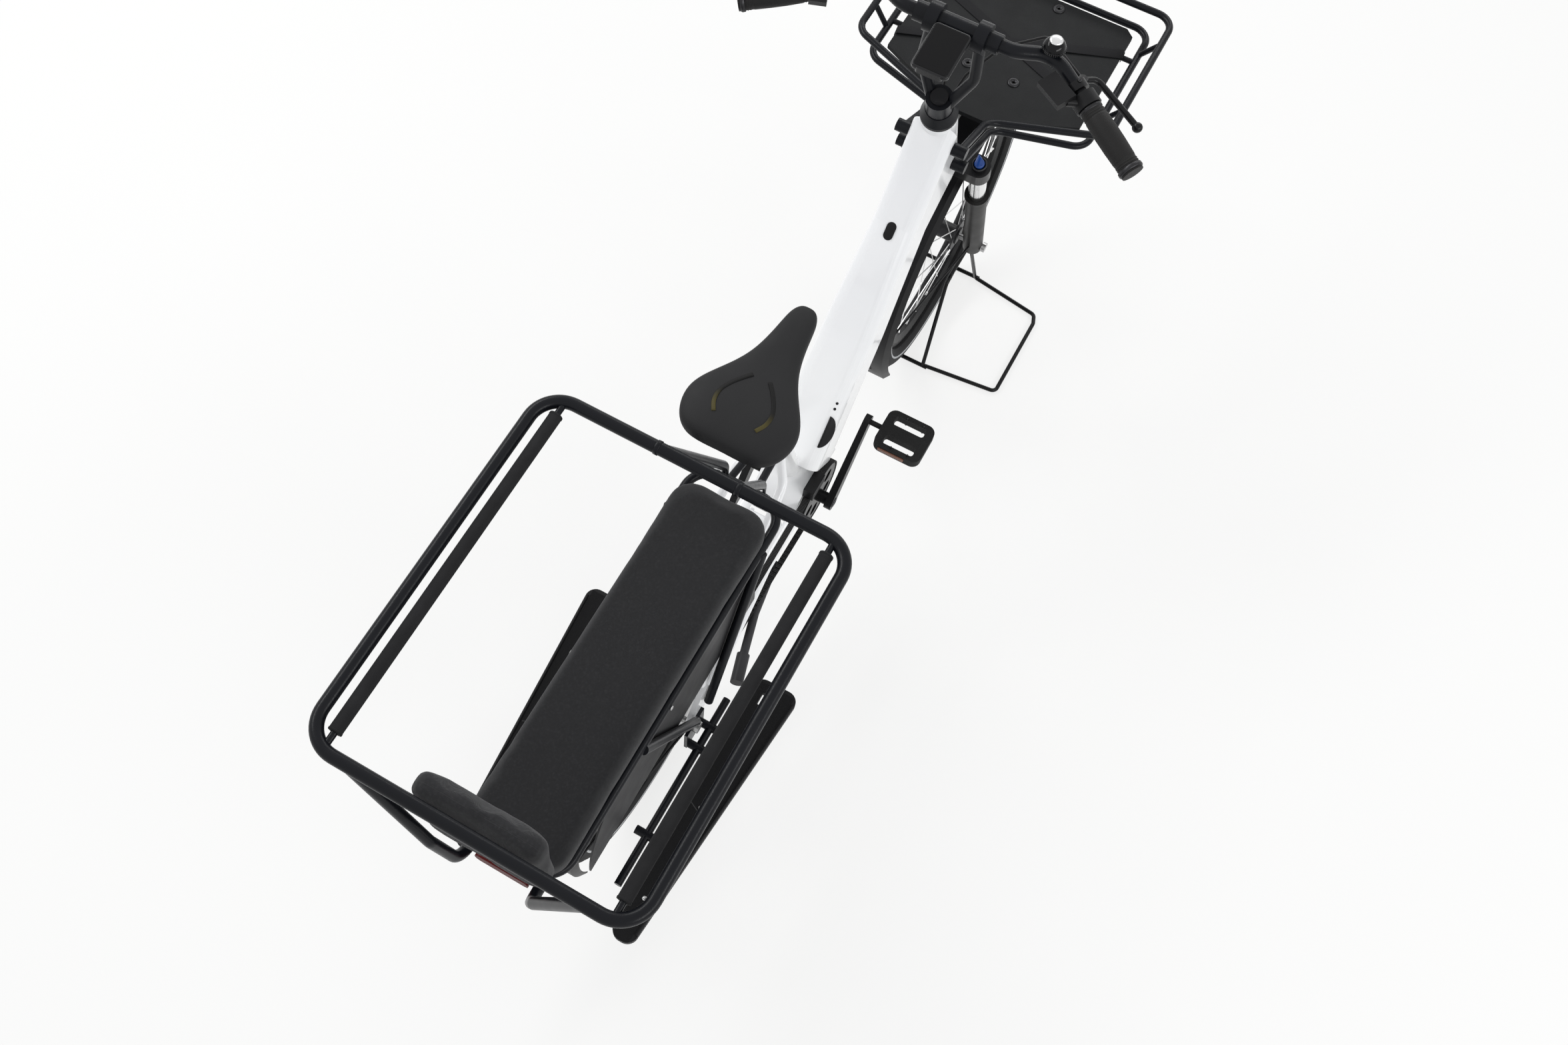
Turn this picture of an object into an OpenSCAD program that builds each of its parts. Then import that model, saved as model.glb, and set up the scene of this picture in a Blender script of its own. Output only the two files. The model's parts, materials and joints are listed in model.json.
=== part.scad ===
// Longtail electric cargo bike with a belt drive, a guard rail round the rear seat and a wire floor stand.
// Millimetres. X runs forward, Y to the rider's left, Z up from the floor. Before the last shift
// to the middle of the bike, X starts at the crank axle.

/* [Wheels] */
// Outer radius of both tyres
tyre_r = 308; // [290:1:330]
// Width of the front tyre
front_tyre_w = 52; // [44:1:58]
// Width of the rear tyre
rear_tyre_w = 56; // [46:1:60]
// Radius of the rim's outer edge
rim_r = 262; // [250:1:266]
// Front axle ahead of the crank axle
front_axle_x = 660; // [640:1:700]
// Rear axle behind the crank axle
rear_axle_back = 510; // [490:1:540]
// Spokes in each wheel
spoke_count = 28; // [20:4:36]

/* [Frame] */
// Height of the crank axle
bb_z = 300; // [290:1:310]
// Angle of the head tube from the floor
head_angle = 70; // [68:0.5:72]
// Front axle ahead of the steering axis
fork_offset = 28; // [20:1:36]
// Outer radius of the head tube
head_tube_r = 31; // [28:0.5:34]
// Width of the main beam behind the head tube
beam_w_top = 78; // [72:1:90]
// Width of the main beam above the motor
beam_w_low = 104; // [94:1:112]
// Depth of the main beam
beam_h = 112; // [104:1:124]
// Angle of the seat tube from the floor
seat_angle = 71.5; // [70:0.5:74]
// Outer radius of the seat tube
seat_tube_r = 19; // [18:0.5:22]
// Radius of the seat post
seat_post_r = 13.6; // [12.5:0.1:15.9]

/* [Cockpit] */
// Height of the handlebar's middle
bar_z = 1120; // [1100:1:1160]
// Half the width of the handlebar, to the end caps
bar_half = 330; // [300:1:350]
// Radius of the handlebar's middle
bar_r = 15.9; // [13:0.1:16.5]
// Distance between the stem's two clamps
stem_spread = 80; // [70:1:88]

/* [Seat and rear rack] */
// Height of the saddle's top
saddle_z = 965; // [930:1:1010]
// Length of the saddle
saddle_l = 272; // [250:1:290]
// Width of the saddle
saddle_w = 184; // [160:1:200]
// Height of the seat pad's top
pad_z = 722; // [700:1:740]
// Thickness of the seat pad
pad_t = 48; // [36:1:56]
// Width of the seat pad
pad_w = 164; // [156:1:180]
// Length of the seat pad
pad_l = 652; // [620:1:670]
// Distance from the crank axle back to the pad's front edge
pad_back = 276; // [268:1:290]
// Height of the guard rail's centre line
rail_z = 990; // [960:1:1020]
// Width of the guard rail between centre lines
rail_w = 492; // [470:1:520]
// Guard rail's front, behind the crank axle
rail_front_back = 385; // [375:1:395]
// Length of the guard rail between centre lines
rail_l = 590; // [570:1:610]
// Radius of the guard rail's tube
rail_r = 10; // [8:0.5:12]
// Bend radius at the guard rail's corners
rail_bend = 48; // [40:1:60]

/* [Running boards] */
// Height of the running boards' top
board_z = 292; // [280:1:310]
// Inner edge of a running board from the middle plane
board_in = 132; // [128:1:140]
// Width of a running board at its front
board_w = 84; // [78:1:92]
// How far a running board's outer edge comes in towards the rear
board_taper = 40; // [0:1:44]
// Front of the running boards, behind the crank axle
board_front_back = 368; // [360:1:380]
// Length of the running boards
board_l = 520; // [500:1:540]

/* [Front rack] */
// Height of the front rack's lower loop
rack_z = 728; // [720:1:740]
// Rise from the lower loop to the upper one
rack_rise = 44; // [36:1:56]
// Distance between the deck's holes along the bike
deck_hole_x = 200; // [180:1:220]
// Distance between the deck's holes across the bike
deck_hole_y = 90; // [70:1:120]
// Width of the front rack's lower loop between centre lines
rack_w = 424; // [400:1:440]
// Rear of the front rack ahead of the crank axle
rack_x = 640; // [632:1:650]
// Length of the front rack
rack_l = 292; // [280:1:300]
// Radius of the rack's tubes
rack_tube_r = 6.5; // [5:0.5:8]

/* [Drive] */
// Length of the cranks
crank_l = 170; // [160:1:175]
// Pitch radius of the front sprocket
sprocket_r = 68; // [60:0.5:72]
// Pitch radius of the rear sprocket
cog_r = 40; // [36:0.5:44]
// Belt's centre line from the middle plane
belt_y = 54; // [52:0.5:56]
// Width of the belt
belt_w = 11; // [9:0.5:12]

/* [Stands] */
// Height of the kickstand's hinge
kick_z = 222; // [216:1:226]
// Hinge of the kickstand behind the crank axle
kick_back = 140; // [134:1:144]
// Length of the kickstand's legs in side view
kick_l = 245; // [238:1:250]
// Half the length of the floor stand's loops
stand_half_l = 134; // [124:1:140]
// Floor stand's reach to the right
stand_reach = 228; // [200:1:240]
// Radius of the floor stand's rod
stand_rod_r = 4.5; // [4:0.5:6]

/* [Hidden] */
$fn = 48;
clear = 0.3;
rear_axle_x = -rear_axle_back;
axle_z = tyre_r;

// Whole length, for the shift to the middle
bike_front = front_axle_x + tyre_r;
rail_front_x = -rail_front_back;
rail_rear_x = rail_front_x - rail_l;
bike_rear = rail_rear_x - rail_r;
mid_x = (bike_front + bike_rear) / 2;

// Steering axis: its foot is the point nearest the front axle
steer_tilt = 90 - head_angle;
foot_x = front_axle_x - fork_offset * cos(steer_tilt);
foot_z = axle_z - fork_offset * sin(steer_tilt);

// Distances up the steering axis
seal_s = 286;
crown_low_s = 386;
crown_top_s = 424;
head_low_s = 442;
head_top_s = 655;
cone_top_s = 683;
stem_low_s = cone_top_s;
stem_top_s = 721;
leg_y = 65;
stanchion_r = 16;
leg_r = 20;
steerer_r = 14.3;
bar_x = 398;

// A point of the side view given in the steering axis's own frame: ahead of the axis, and up it
function steer_u(x, z) = (x - foot_x) * cos(steer_tilt) + (z - foot_z) * sin(steer_tilt);
function steer_s(x, z) = -(x - foot_x) * sin(steer_tilt) + (z - foot_z) * cos(steer_tilt);
function steer_point(u, y, s) = [foot_x + u * cos(steer_tilt) - s * sin(steer_tilt), y,
    foot_z + u * sin(steer_tilt) + s * cos(steer_tilt)];
bar_u = steer_u(bar_x, bar_z);
bar_s = steer_s(bar_x, bar_z);

// Seat tube line in side view
seat_foot = [-14, 372];
seat_top_z = 655;
function seat_x(z) = seat_foot[0] - (z - seat_foot[1]) / tan(seat_angle);

// Main beam's sections: [x, z, width, depth, tilt of the section's normal from upright]
beam_low = [16, 385, beam_w_low, beam_h + 6, 43.5];
beam_mid = [190, 566, beam_w_low - 8, beam_h, 43.5];
beam_neck = [330, 716, beam_w_top, beam_h + 8, 45];
head_mid = steer_point(-14, 0, 552);
beam_head = [head_mid[0], head_mid[2], beam_w_top, 190, head_angle];
beam_slope = atan2(beam_neck[1] - beam_low[1], beam_neck[0] - beam_low[0]);

// Battery inside the beam
battery_l = 330;
battery_w = 62;
battery_h = 74;
battery_mid = [178, 556];

// Rear rack
rack_rail_r = 8;
rack_rail_y = pad_w / 2 - 2;
rack_top_z = pad_z - pad_t - clear;
rack_rail_z = rack_top_z - rack_rail_r;
rack_front_x = -pad_back + 48;
rack_rear_x = -pad_back - pad_l + 8;

// Stays
dropout_y = 72;
stay_r = 12;
axle_r = 6;
fit = 0.05;

// Kickstand
kick_ear_y = 26;
kick_ear_t = 6;
kick_y = kick_ear_y + kick_ear_t + 10;
kick_foot_y = 98;
kick_x = -kick_back;
kick_rest_angle = 5;
kick_pin_r = 8;

// Frames of reference

// Shifts a piece so that the middle of the bike's length is at X = 0
module placed() { translate([-mid_x, 0, 0]) children(); }

// The steering axis as Z, with X ahead of it
module steer_frame() {
    translate([foot_x, 0, foot_z]) rotate([0, -steer_tilt, 0]) children();
}

// A child drawn for the left side, and its mirror image on the right
module both_sides() {
    children();
    mirror([0, 1, 0]) children();
}

// Puts a child's X along ex and its Y along ey, at p
module at_frame(p, ex, ey) {
    ez = cross(ex, ey);
    translate(p)
        rotate([atan2(ey[2], ez[2]), -asin(max(-1, min(1, ex[2]))), atan2(ex[1], ex[0])])
            children();
}

function unit(v) = v / norm(v);

// Rods and tubes

// A straight round bar from a to b
module rod(a, b, r) {
    d = b - a;
    translate(a)
        rotate([0, acos(d[2] / norm(d)), atan2(d[1], d[0])])
            cylinder(r = r, h = norm(d));
}

// Distance from a corner to where its bend starts
function bend_cut(a, b, c, bend) = bend * tan(acos(max(-1, min(1, unit(b - a) * unit(c - b)))) / 2);

// Straight parts of a tube run this far into its bends, whose own radius is smaller by a hair
lap = 0.5;
hair = 0.05;

// A tube through the points, each inner corner bent to the same radius
module bent_tube(points, r, bend) {
    n = len(points);
    cuts = [for (i = [0 : n - 1]) i == 0 || i == n - 1 ? 0 :
        bend_cut(points[i - 1], points[i], points[i + 1], bend) - lap];
    for (i = [0 : n - 2]) {
        d = unit(points[i + 1] - points[i]);
        rod(points[i] + d * cuts[i], points[i + 1] - d * cuts[i + 1], r);
    }
    for (i = [1 : 1 : n - 2]) tube_corner(points[i - 1], points[i], points[i + 1], r, bend);
}

// A closed loop of tube through the corner points
module tube_ring(points, r, bend) {
    n = len(points);
    for (i = [0 : n - 1]) {
        before = points[(i + n - 1) % n];
        a = points[i];
        b = points[(i + 1) % n];
        c = points[(i + 2) % n];
        d = unit(b - a);
        rod(a + d * (bend_cut(before, a, b, bend) - lap), b - d * (bend_cut(a, b, c, bend) - lap), r);
        tube_corner(a, b, c, r, bend);
    }
}

// The bend at b, on the way from a to c
module tube_corner(a, b, c, r, bend) {
    d1 = unit(b - a);
    d2 = unit(c - b);
    start = b - d1 * bend_cut(a, b, c, bend);
    inward = unit(d2 - d1 * (d1 * d2));
    at_frame(start + inward * bend, -inward, d1)
        rotate_extrude(angle = acos(d1 * d2), $fn = 72)
            translate([bend, 0]) circle(r = r - hair, $fn = 32);
}

// A flat plate with round corners, lying in XY
module round_plate(size, corner, t) {
    linear_extrude(t) round_rect(size, corner);
}

module round_rect(size, corner) {
    square([size[0], size[1] - 2 * corner], center = true);
    square([size[0] - 2 * corner, size[1]], center = true);
    for (sx = [-1, 1], sy = [-1, 1])
        translate([sx * (size[0] / 2 - corner), sy * (size[1] / 2 - corner)]) circle(r = corner, $fn = 32);
}

// A closed skin through rings of equal count, with flat ends
module skin(rings) {
    n = len(rings[0]);
    m = len(rings);
    points = [for (ring = rings) each ring];
    sides = [for (j = [0 : m - 2], i = [0 : n - 1]) let (k = (i + 1) % n)
        each [[j * n + i, j * n + k, (j + 1) * n + k], [j * n + i, (j + 1) * n + k, (j + 1) * n + i]]];
    ends = [[for (i = [n - 1 : -1 : 0]) i], [for (i = [0 : n - 1]) (m - 1) * n + i]];
    polyhedron(points, concat(sides, ends));
}

// Frame

// One section of the main beam
module beam_section(s) {
    corner = 22;
    translate([s[0], 0, s[1]]) rotate([0, s[4], 0])
        for (x = [-1, 1], y = [-1, 1])
            translate([x * (s[3] / 2 - corner), y * (s[2] / 2 - corner), -1])
                cylinder(r = corner, h = 2, $fn = 32);
}

module frame_main() {
    placed() color("white") difference() {
        union() {
            hull() {
                beam_section(beam_head);
                beam_section(beam_neck);
            }
            hull() {
                beam_section(beam_neck);
                beam_section(beam_mid);
            }
            hull() {
                beam_section(beam_mid);
                beam_section(beam_low);
            }
            steer_frame() translate([0, 0, head_low_s])
                cylinder(r = head_tube_r, h = head_top_s - head_low_s);
            rod([seat_x(seat_foot[1] - 12), 0, seat_foot[1] - 12], [seat_x(seat_top_z), 0, seat_top_z], seat_tube_r);
            motor_cradle();
        }
        steer_frame() translate([0, 0, head_low_s - 20]) cylinder(r = steerer_r + 4, h = 300);
        rod([seat_x(400), 0, 400], [seat_x(seat_top_z + 5), 0, seat_top_z + 5], seat_post_r + clear);
        battery_space(clear);
        motor_space();
    }
}

// Saddle-shaped cradle over the motor
cradle_r = 92;
cradle_y = 45;
module motor_cradle() {
    translate([0, 0, bb_z]) rotate([90, 0, 0])
        linear_extrude(2 * cradle_y, center = true)
            intersection() {
                circle(r = cradle_r);
                translate([-100, 20]) square([200, 100]);
            }
}

module battery_space(gap) {
    translate([battery_mid[0], 0, battery_mid[1]]) rotate([0, 90 - beam_slope, 0])
        cube([battery_h + 2 * gap, battery_w + 2 * gap, battery_l + 2 * gap], center = true);
}

module battery() { placed() color("dimgray") battery_space(0); }

motor_r = 74;
module motor_space() {
    translate([0, 0, bb_z]) rotate([90, 0, 0]) cylinder(r = motor_r + clear, h = 200, center = true);
}

module motor() {
    placed() color("gray") difference() {
        translate([0, 0, bb_z]) rotate([90, 0, 0]) {
            cylinder(r = motor_r, h = 84, center = true);
            cylinder(r = 30, h = 96, center = true);
        }
        translate([0, 0, bb_z]) rotate([90, 0, 0]) cylinder(r = 12.05, h = 200, center = true);
    }
}

module headset() {
    placed() color("black") steer_frame() {
        difference() {
            union() {
                translate([0, 0, head_top_s]) cylinder(r = head_tube_r, h = 8);
                translate([0, 0, head_low_s - 10]) cylinder(r = head_tube_r - 3, h = 10);
            }
            translate([0, 0, head_low_s - 20]) cylinder(r = steerer_r + fit, h = 300);
        }
    }
}

// Chain stays, seat stays, the plates that hold the rear axle and the ears for the kickstand
chain_stay_z = bb_z + 26;
seat_stay_z = 612;
plate_t = 10;
plate_out_y = dropout_y + plate_t / 2;
module rear_stays() {
    placed() color("white") difference() {
        union() {
            both_sides() {
                bent_tube([[-70, 46, chain_stay_z + 6], [-190, 46, chain_stay_z], [rear_axle_x + 90, dropout_y - 5, axle_z + 10],
                    [rear_axle_x + 47, dropout_y - 5, axle_z + 8]], stay_r, 60);
                bent_tube([[seat_x(seat_stay_z), 0, seat_stay_z], [seat_x(seat_stay_z) - 60, 42, seat_stay_z - 24],
                    [rear_axle_x + 40, dropout_y - 6, axle_z + 60]], 8, 40);
                translate([rear_axle_x, plate_out_y, axle_z]) rotate([90, 0, 0])
                    linear_extrude(plate_t) dropout_shape();
                translate([0, kick_ear_y + kick_ear_t, 0]) rotate([90, 0, 0]) linear_extrude(kick_ear_t) kick_ear();
            }
            rod([-112, -46, chain_stay_z], [-112, 46, chain_stay_z], 9);
        }
        rod([seat_x(560), 0, 560], [seat_x(680), 0, 680], seat_tube_r + clear);
        translate([0, 0, bb_z]) rotate([90, 0, 0]) cylinder(r = cradle_r + clear, h = 200, center = true, $fn = 96);
        both_sides() translate([-700, plate_out_y, 0]) cube([600, 40, 600]);
        translate([rear_axle_x, 0, axle_z]) rotate([90, 0, 0]) cylinder(r = axle_r + fit, h = 200, center = true);
        translate([kick_x, 0, kick_z]) rotate([90, 0, 0]) cylinder(r = kick_pin_r + fit, h = 120, center = true);
    }
}

// Side view of the ear that carries the kickstand's pin
module kick_ear() {
    translate([kick_x, kick_z]) circle(r = 15);
    polygon([[kick_x - 15, kick_z], [kick_x + 15, kick_z], [-98, chain_stay_z], [-126, chain_stay_z]]);
}

module dropout_shape() {
    circle(r = 20);
    polygon([[0, -20], [62, -4], [62, 22], [54, 70], [30, 72], [-14, 14]]);
}

// Saddle and post

saddle_clamp_z = saddle_z - 62;
module seatpost() {
    placed() color("silver") {
        rod([seat_x(470), 0, 470], [seat_x(saddle_clamp_z), 0, saddle_clamp_z], seat_post_r);
        translate([seat_x(saddle_clamp_z), 0, saddle_clamp_z]) rotate([90, 0, 0])
            cylinder(r = 13, h = 54, center = true);
        both_sides() bent_tube([[seat_x(saddle_clamp_z) + 110, 12, saddle_z - 44.6],
            [seat_x(saddle_clamp_z) + 60, 22, saddle_clamp_z],
            [seat_x(saddle_clamp_z) - 50, 22, saddle_clamp_z],
            [seat_x(saddle_clamp_z) - 90, 34, saddle_z - 50]], 3.5, 16);
    }
}

// Saddle's sections from tail to nose: [share of length, share of half width, thickness, drop of the top]
saddle_sections = [
    [0.00, 0.50, 26, 14], [0.05, 0.80, 38, 6], [0.14, 0.97, 46, 1], [0.24, 1.00, 46, 0],
    [0.36, 0.86, 44, 2], [0.50, 0.58, 42, 5], [0.64, 0.37, 40, 6], [0.80, 0.29, 36, 6],
    [0.93, 0.25, 32, 8], [1.00, 0.14, 20, 14]
];
saddle_tail_x = -320;
saddle_ring_n = 20;
function saddle_ring(s) = [for (i = [0 : saddle_ring_n - 1]) let (a = -360 * i / saddle_ring_n)
    [saddle_tail_x + s[0] * saddle_l,
     s[1] * saddle_w / 2 * sign(cos(a)) * pow(abs(cos(a)), 0.8),
     saddle_z - s[3] - s[2] / 2 + s[2] / 2 * sign(sin(a)) * pow(abs(sin(a)), 0.7)]];
module saddle() {
    placed() color([0.13, 0.13, 0.13]) skin([for (s = saddle_sections) saddle_ring(s)]);
}

// Rear rack, pad and guard rail

strut_r = 8;
strut_y = plate_out_y + strut_r + clear;
module rear_rack() {
    placed() color("black") difference() {
        union() {
            rail = [for (p = [[rack_front_x, 1], [rack_rear_x, 1], [rack_rear_x, -1], [rack_front_x, -1]])
                [p[0], p[1] * rack_rail_y, rack_rail_z]];
            tube_ring(rail, rack_rail_r, 44);
            for (x = [rack_front_x - 150, rack_front_x - 340, rack_front_x - 530])
                rod([x, -rack_rail_y, rack_rail_z], [x, rack_rail_y, rack_rail_z], 6);
            both_sides() {
                rod([-pad_back - 40, strut_y, rack_rail_z], [rear_axle_x + 40, strut_y, axle_z + 34], strut_r);
                rod([-pad_back - 410, strut_y, rack_rail_z], [rear_axle_x - 2, strut_y, axle_z + 34], strut_r);
                rod([rack_front_x, 24, rack_rail_z], [seat_x(640) + 10, 14, 640], 6.5);
            }
        }
        rod([seat_x(600), 0, 600], [seat_x(690), 0, 690], seat_tube_r + clear);
    }
}

module seat_pad() {
    placed() color([0.15, 0.15, 0.16])
        translate([-pad_back - pad_l / 2, 0, pad_z - pad_t]) round_plate([pad_l, pad_w], 40, pad_t);
}

post_y = 58;
foam_r = 10;
foam_bore_r = 5;
foam_y = rail_w / 2 - 32;
module guard_rail() {
    placed() color("black") {
        ring = [for (p = [[rail_front_x, 1], [rail_rear_x, 1], [rail_rear_x, -1], [rail_front_x, -1]])
            [p[0], p[1] * rail_w / 2, rail_z]];
        tube_ring(ring, rail_r, rail_bend);
        both_sides() {
            bent_tube([[rail_front_x, post_y + 4, rail_z], [rack_front_x, post_y - 24, rack_rail_z + 40],
                [rack_front_x, post_y - 24, rack_rail_z + rack_rail_r + clear]], 8, 30);
            rod([rail_front_x, foam_y, rail_z], [rail_rear_x, foam_y, rail_z], foam_bore_r);
            bent_tube([[rail_rear_x, rail_w / 2 - 70, rail_z], [rail_rear_x, 84, rail_z - 210],
                [rack_rear_x - 40, 60, rack_rail_z], [rack_rear_x - rack_rail_r - clear, 60, rack_rail_z]], 9, 34);
        }
    }
}

module rail_foam() {
    placed() color([0.12, 0.12, 0.12]) both_sides() difference() {
        rod([rail_front_x - rail_r - 18, foam_y, rail_z], [rail_rear_x + rail_r + 18, foam_y, rail_z], foam_r);
        rod([rail_front_x, foam_y, rail_z], [rail_rear_x, foam_y, rail_z], foam_bore_r + fit);
    }
}

module backrest() {
    placed() color([0.15, 0.15, 0.16])
        translate([rail_rear_x + rail_r + clear, 0, rail_z - 92]) rotate([90, 0, 90])
            round_plate([204, 184], 40, 42);
}

// Running boards

board_plate_y = plate_out_y + clear + 6;
board_corner = 20;
// Outer edge of a running board at a place along the bike
function board_out(x) = board_in + board_w + board_taper * (x + board_front_back) / board_l;
// Middles of a board's four round corners, outer front first
board_near_x = -board_front_back - board_corner;
board_far_x = -board_front_back - board_l + board_corner;
board_mids = [[board_near_x, board_out(board_near_x) - board_corner], [board_far_x, board_out(board_far_x) - board_corner],
    [board_far_x, board_in + board_corner], [board_near_x, board_in + board_corner]];
module running_boards() {
    placed() color([0.1, 0.1, 0.1]) both_sides() {
        difference() {
            translate([0, 0, board_z - 14]) linear_extrude(14) soft_quad(board_mids, board_corner);
            translate([-board_front_back - 36, board_in + 34, board_z - 20]) cube([24, 24, 40], center = true);
        }
        rim = [for (p = [board_mids[0], board_mids[1]]) [p[0], p[1] + board_corner - 3.2, board_z]];
        rod(rim[0], rim[1], 3);
    }
}

// A quadrangle with round corners of radius r about four middles, given anticlockwise from above
module soft_quad(mids, r) {
    polygon([for (i = [0 : 3]) let (a = mids[i], b = mids[(i + 1) % 4], d = unit(b - a))
        each [a + r * [d[1], -d[0]], b + r * [d[1], -d[0]]]]);
    for (p = mids) translate(p) circle(r = r);
}

module board_frame() {
    z = board_z - 14 - 8 - clear;
    placed() color("black") difference() {
        both_sides() {
            for (x = [rear_axle_x + 22, rear_axle_x - 22, rear_axle_x - 200])
                rod([x, plate_out_y + 3, z], [x, board_out(x) - 14, z], 8);
            rod([-board_front_back - 60, dropout_y + 30, z], [-board_front_back - board_l + 80, dropout_y + 30, z], 7);
            translate([rear_axle_x, board_plate_y, axle_z]) rotate([90, 0, 0])
                linear_extrude(6) translate([-30, -46]) square([60, 64]);
        }
        translate([rear_axle_x, 0, axle_z]) rotate([90, 0, 0]) cylinder(r = axle_r + fit, h = 240, center = true);
    }
}

// Fenders and skirts

// A curved strip of fender round a wheel's axis, between two angles from straight ahead
module fender_strip(r, w, from_deg, to_deg) {
    t = 3;
    rotate([90, 0, 0]) rotate([0, 0, from_deg])
        rotate_extrude(angle = to_deg - from_deg, $fn = 120)
            polygon([[r - 12, -w / 2], [r, -w / 2 + 9], [r, w / 2 - 9], [r - 12, w / 2],
                [r - 12 + t, w / 2 + 1], [r + t, w / 2 - 8], [r + t, -w / 2 + 8], [r - 12 + t, -w / 2 - 1]]);
}

fender_gap = 14;
module rear_fender() {
    placed() color("black")
        translate([rear_axle_x, 0, axle_z]) {
            fender_strip(tyre_r + fender_gap, 72, 20, 200);
            both_sides() rod([-20.6 * cos(8), dropout_y, 20.6 * sin(8)],
                [-(tyre_r + 6) * cos(8), 35.5, (tyre_r + 6) * sin(8)], 2.2);
        }
}

skirt_t = 3;
skirt_low_z = 438;
module wheel_skirts() {
    placed() color([0.2, 0.2, 0.21]) both_sides()
        translate([rear_axle_x - 60, strut_y - strut_r - 0.5, skirt_low_z]) rotate([90, 0, 0])
            linear_extrude(skirt_t) intersection() {
                circle(r = 270);
                translate([-300, 0]) square([600, rack_rail_z - rack_rail_r - clear - skirt_low_z]);
            }
}

// Front rack

rack_mid_x = rack_x + rack_l / 2;
deck_t = 9;
lug_r = 11;
lug_l = 24;
lug_y = beam_w_top / 2 + clear + lug_l / 2;
rack_out = 30;
module front_rack() {
    placed() color("black") {
        rack_loop(steer_point(-26, lug_y, 544), [rack_x - 58, lug_y + 2, rack_z], [rack_x - 12, rack_w / 2, rack_z],
            rack_x + rack_l);
        rack_loop(steer_point(-26, lug_y, 607), [rack_x - 84, lug_y - 4, rack_z + rack_rise],
            [rack_x - 8, rack_w / 2 + rack_out, rack_z + rack_rise], rack_x + rack_l + 6);
        for (x = [rack_x + 60, rack_x + rack_l - 60]) both_sides()
            rod([x, rack_w / 2, rack_z], [x, rack_w / 2 + rack_out, rack_z + rack_rise], 5);
        for (x = [rack_x + 80, rack_x + rack_l - 80])
            rod([x, -rack_w / 2, rack_z], [x, rack_w / 2, rack_z], 5);
    }
}

// One tube from a lug on the beam's left side, out and round the front, to the lug on the right
module rack_loop(lug, inner, corner, front_x) {
    left = [lug, inner, corner, [front_x, corner[1], corner[2]]];
    bent_tube(concat(left, [for (i = [3 : -1 : 0]) [left[i][0], -left[i][1], left[i][2]]]), rack_tube_r, 32);
    both_sides() translate(lug + [0, lug_l / 2, 0]) rotate([90, 0, 0]) cylinder(r = lug_r, h = lug_l);
}

// Left half of the deck's outline, from the middle of its rear edge, measured from its bolts' middle
deck_half = [[-206, 34], [-134, rack_w / 2 - 24], [106, rack_w / 2 - 24], [120, rack_w / 2 - 40]];
module front_deck() {
    placed() color([0.14, 0.14, 0.14]) translate([rack_mid_x, 0, rack_z + 5 + clear]) difference() {
        linear_extrude(deck_t) polygon(concat(deck_half, [for (i = [3 : -1 : 0]) [deck_half[i][0], -deck_half[i][1]]]));
        for (x = [-deck_hole_x, deck_hole_x], y = [-deck_hole_y, deck_hole_y])
            translate([x / 2, y / 2, -1]) cylinder(r = 3.2, h = deck_t + 2);
    }
}

// Lamps and lock

module headlamp() {
    placed() color("black") translate([rack_x + rack_l + rack_tube_r + clear, 0, rack_z - 8])
        rotate([0, 90, 0]) cylinder(r = 24, h = 26);
}

module tail_lamp() {
    placed() color("darkred") translate([rack_rear_x - rack_rail_r - clear - 16, 0, rack_rail_z])
        rotate([90, 0, 90]) round_plate([90, 26], 10, 16);
}

module ring_lock() {
    placed() color("black") translate([rear_axle_x, 0, axle_z]) rotate([0, -44.5, 0])
        translate([tyre_r - 18, 0, 0]) difference() {
            cylinder(r = 70, h = 22, center = true);
            cylinder(r = 54, h = 30, center = true);
            translate([-100, -80, -20]) cube([85, 160, 40]);
        }
}

// Belt drive

drive_l = norm([rear_axle_x, axle_z - bb_z]);
drive_tilt = atan2(axle_z - bb_z, rear_axle_x);

// Belt's outline grown by g, with the front sprocket at the origin and the rear one along X
function belt_outline(g) = let (r1 = sprocket_r + g, r2 = cog_r + g, a = acos((r1 - r2) / drive_l), n = 30)
    concat([for (i = [0 : n]) let (t = a + (360 - 2 * a) * i / n) r1 * [cos(t), sin(t)]],
        [for (i = [0 : n]) let (t = -a + 2 * a * i / n) [drive_l, 0] + r2 * [cos(t), sin(t)]]);

belt_gap = 0.6;
belt_t = 3;
module belt() {
    placed() color([0.08, 0.08, 0.08])
        translate([0, -belt_y, bb_z]) rotate([90, -drive_tilt, 0])
            linear_extrude(belt_w, center = true) difference() {
                polygon(belt_outline(belt_gap + belt_t));
                polygon(belt_outline(belt_gap));
            }
}

module belt_guard() {
    placed() color("black") translate([-54, -belt_y - 12, bb_z + 75]) cube([46, belt_y + 12 - cradle_y - clear, 26]);
}

// A caliper astride a rotor, a turn of a degrees up from straight ahead, reaching out past the rotor's middle
rotor_r = 80;
rotor_t = 2;
front_rotor_y = 40;
rear_rotor_y = 50;
module caliper(y, a, out) {
    translate([0, y, 0]) rotate([0, -a, 0]) difference() {
        translate([rotor_r - 4, out, 0]) rotate([90, 0, 0]) round_plate([34, 46], 8, out + 8.3);
        rotate([90, 0, 0]) cylinder(r = rotor_r + 2, h = rotor_t + 2, center = true);
    }
}

module rear_brake() {
    placed() color("black") rear_wheel_place() caliper(rear_rotor_y, 42, 6.2);
}

// Fork

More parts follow.
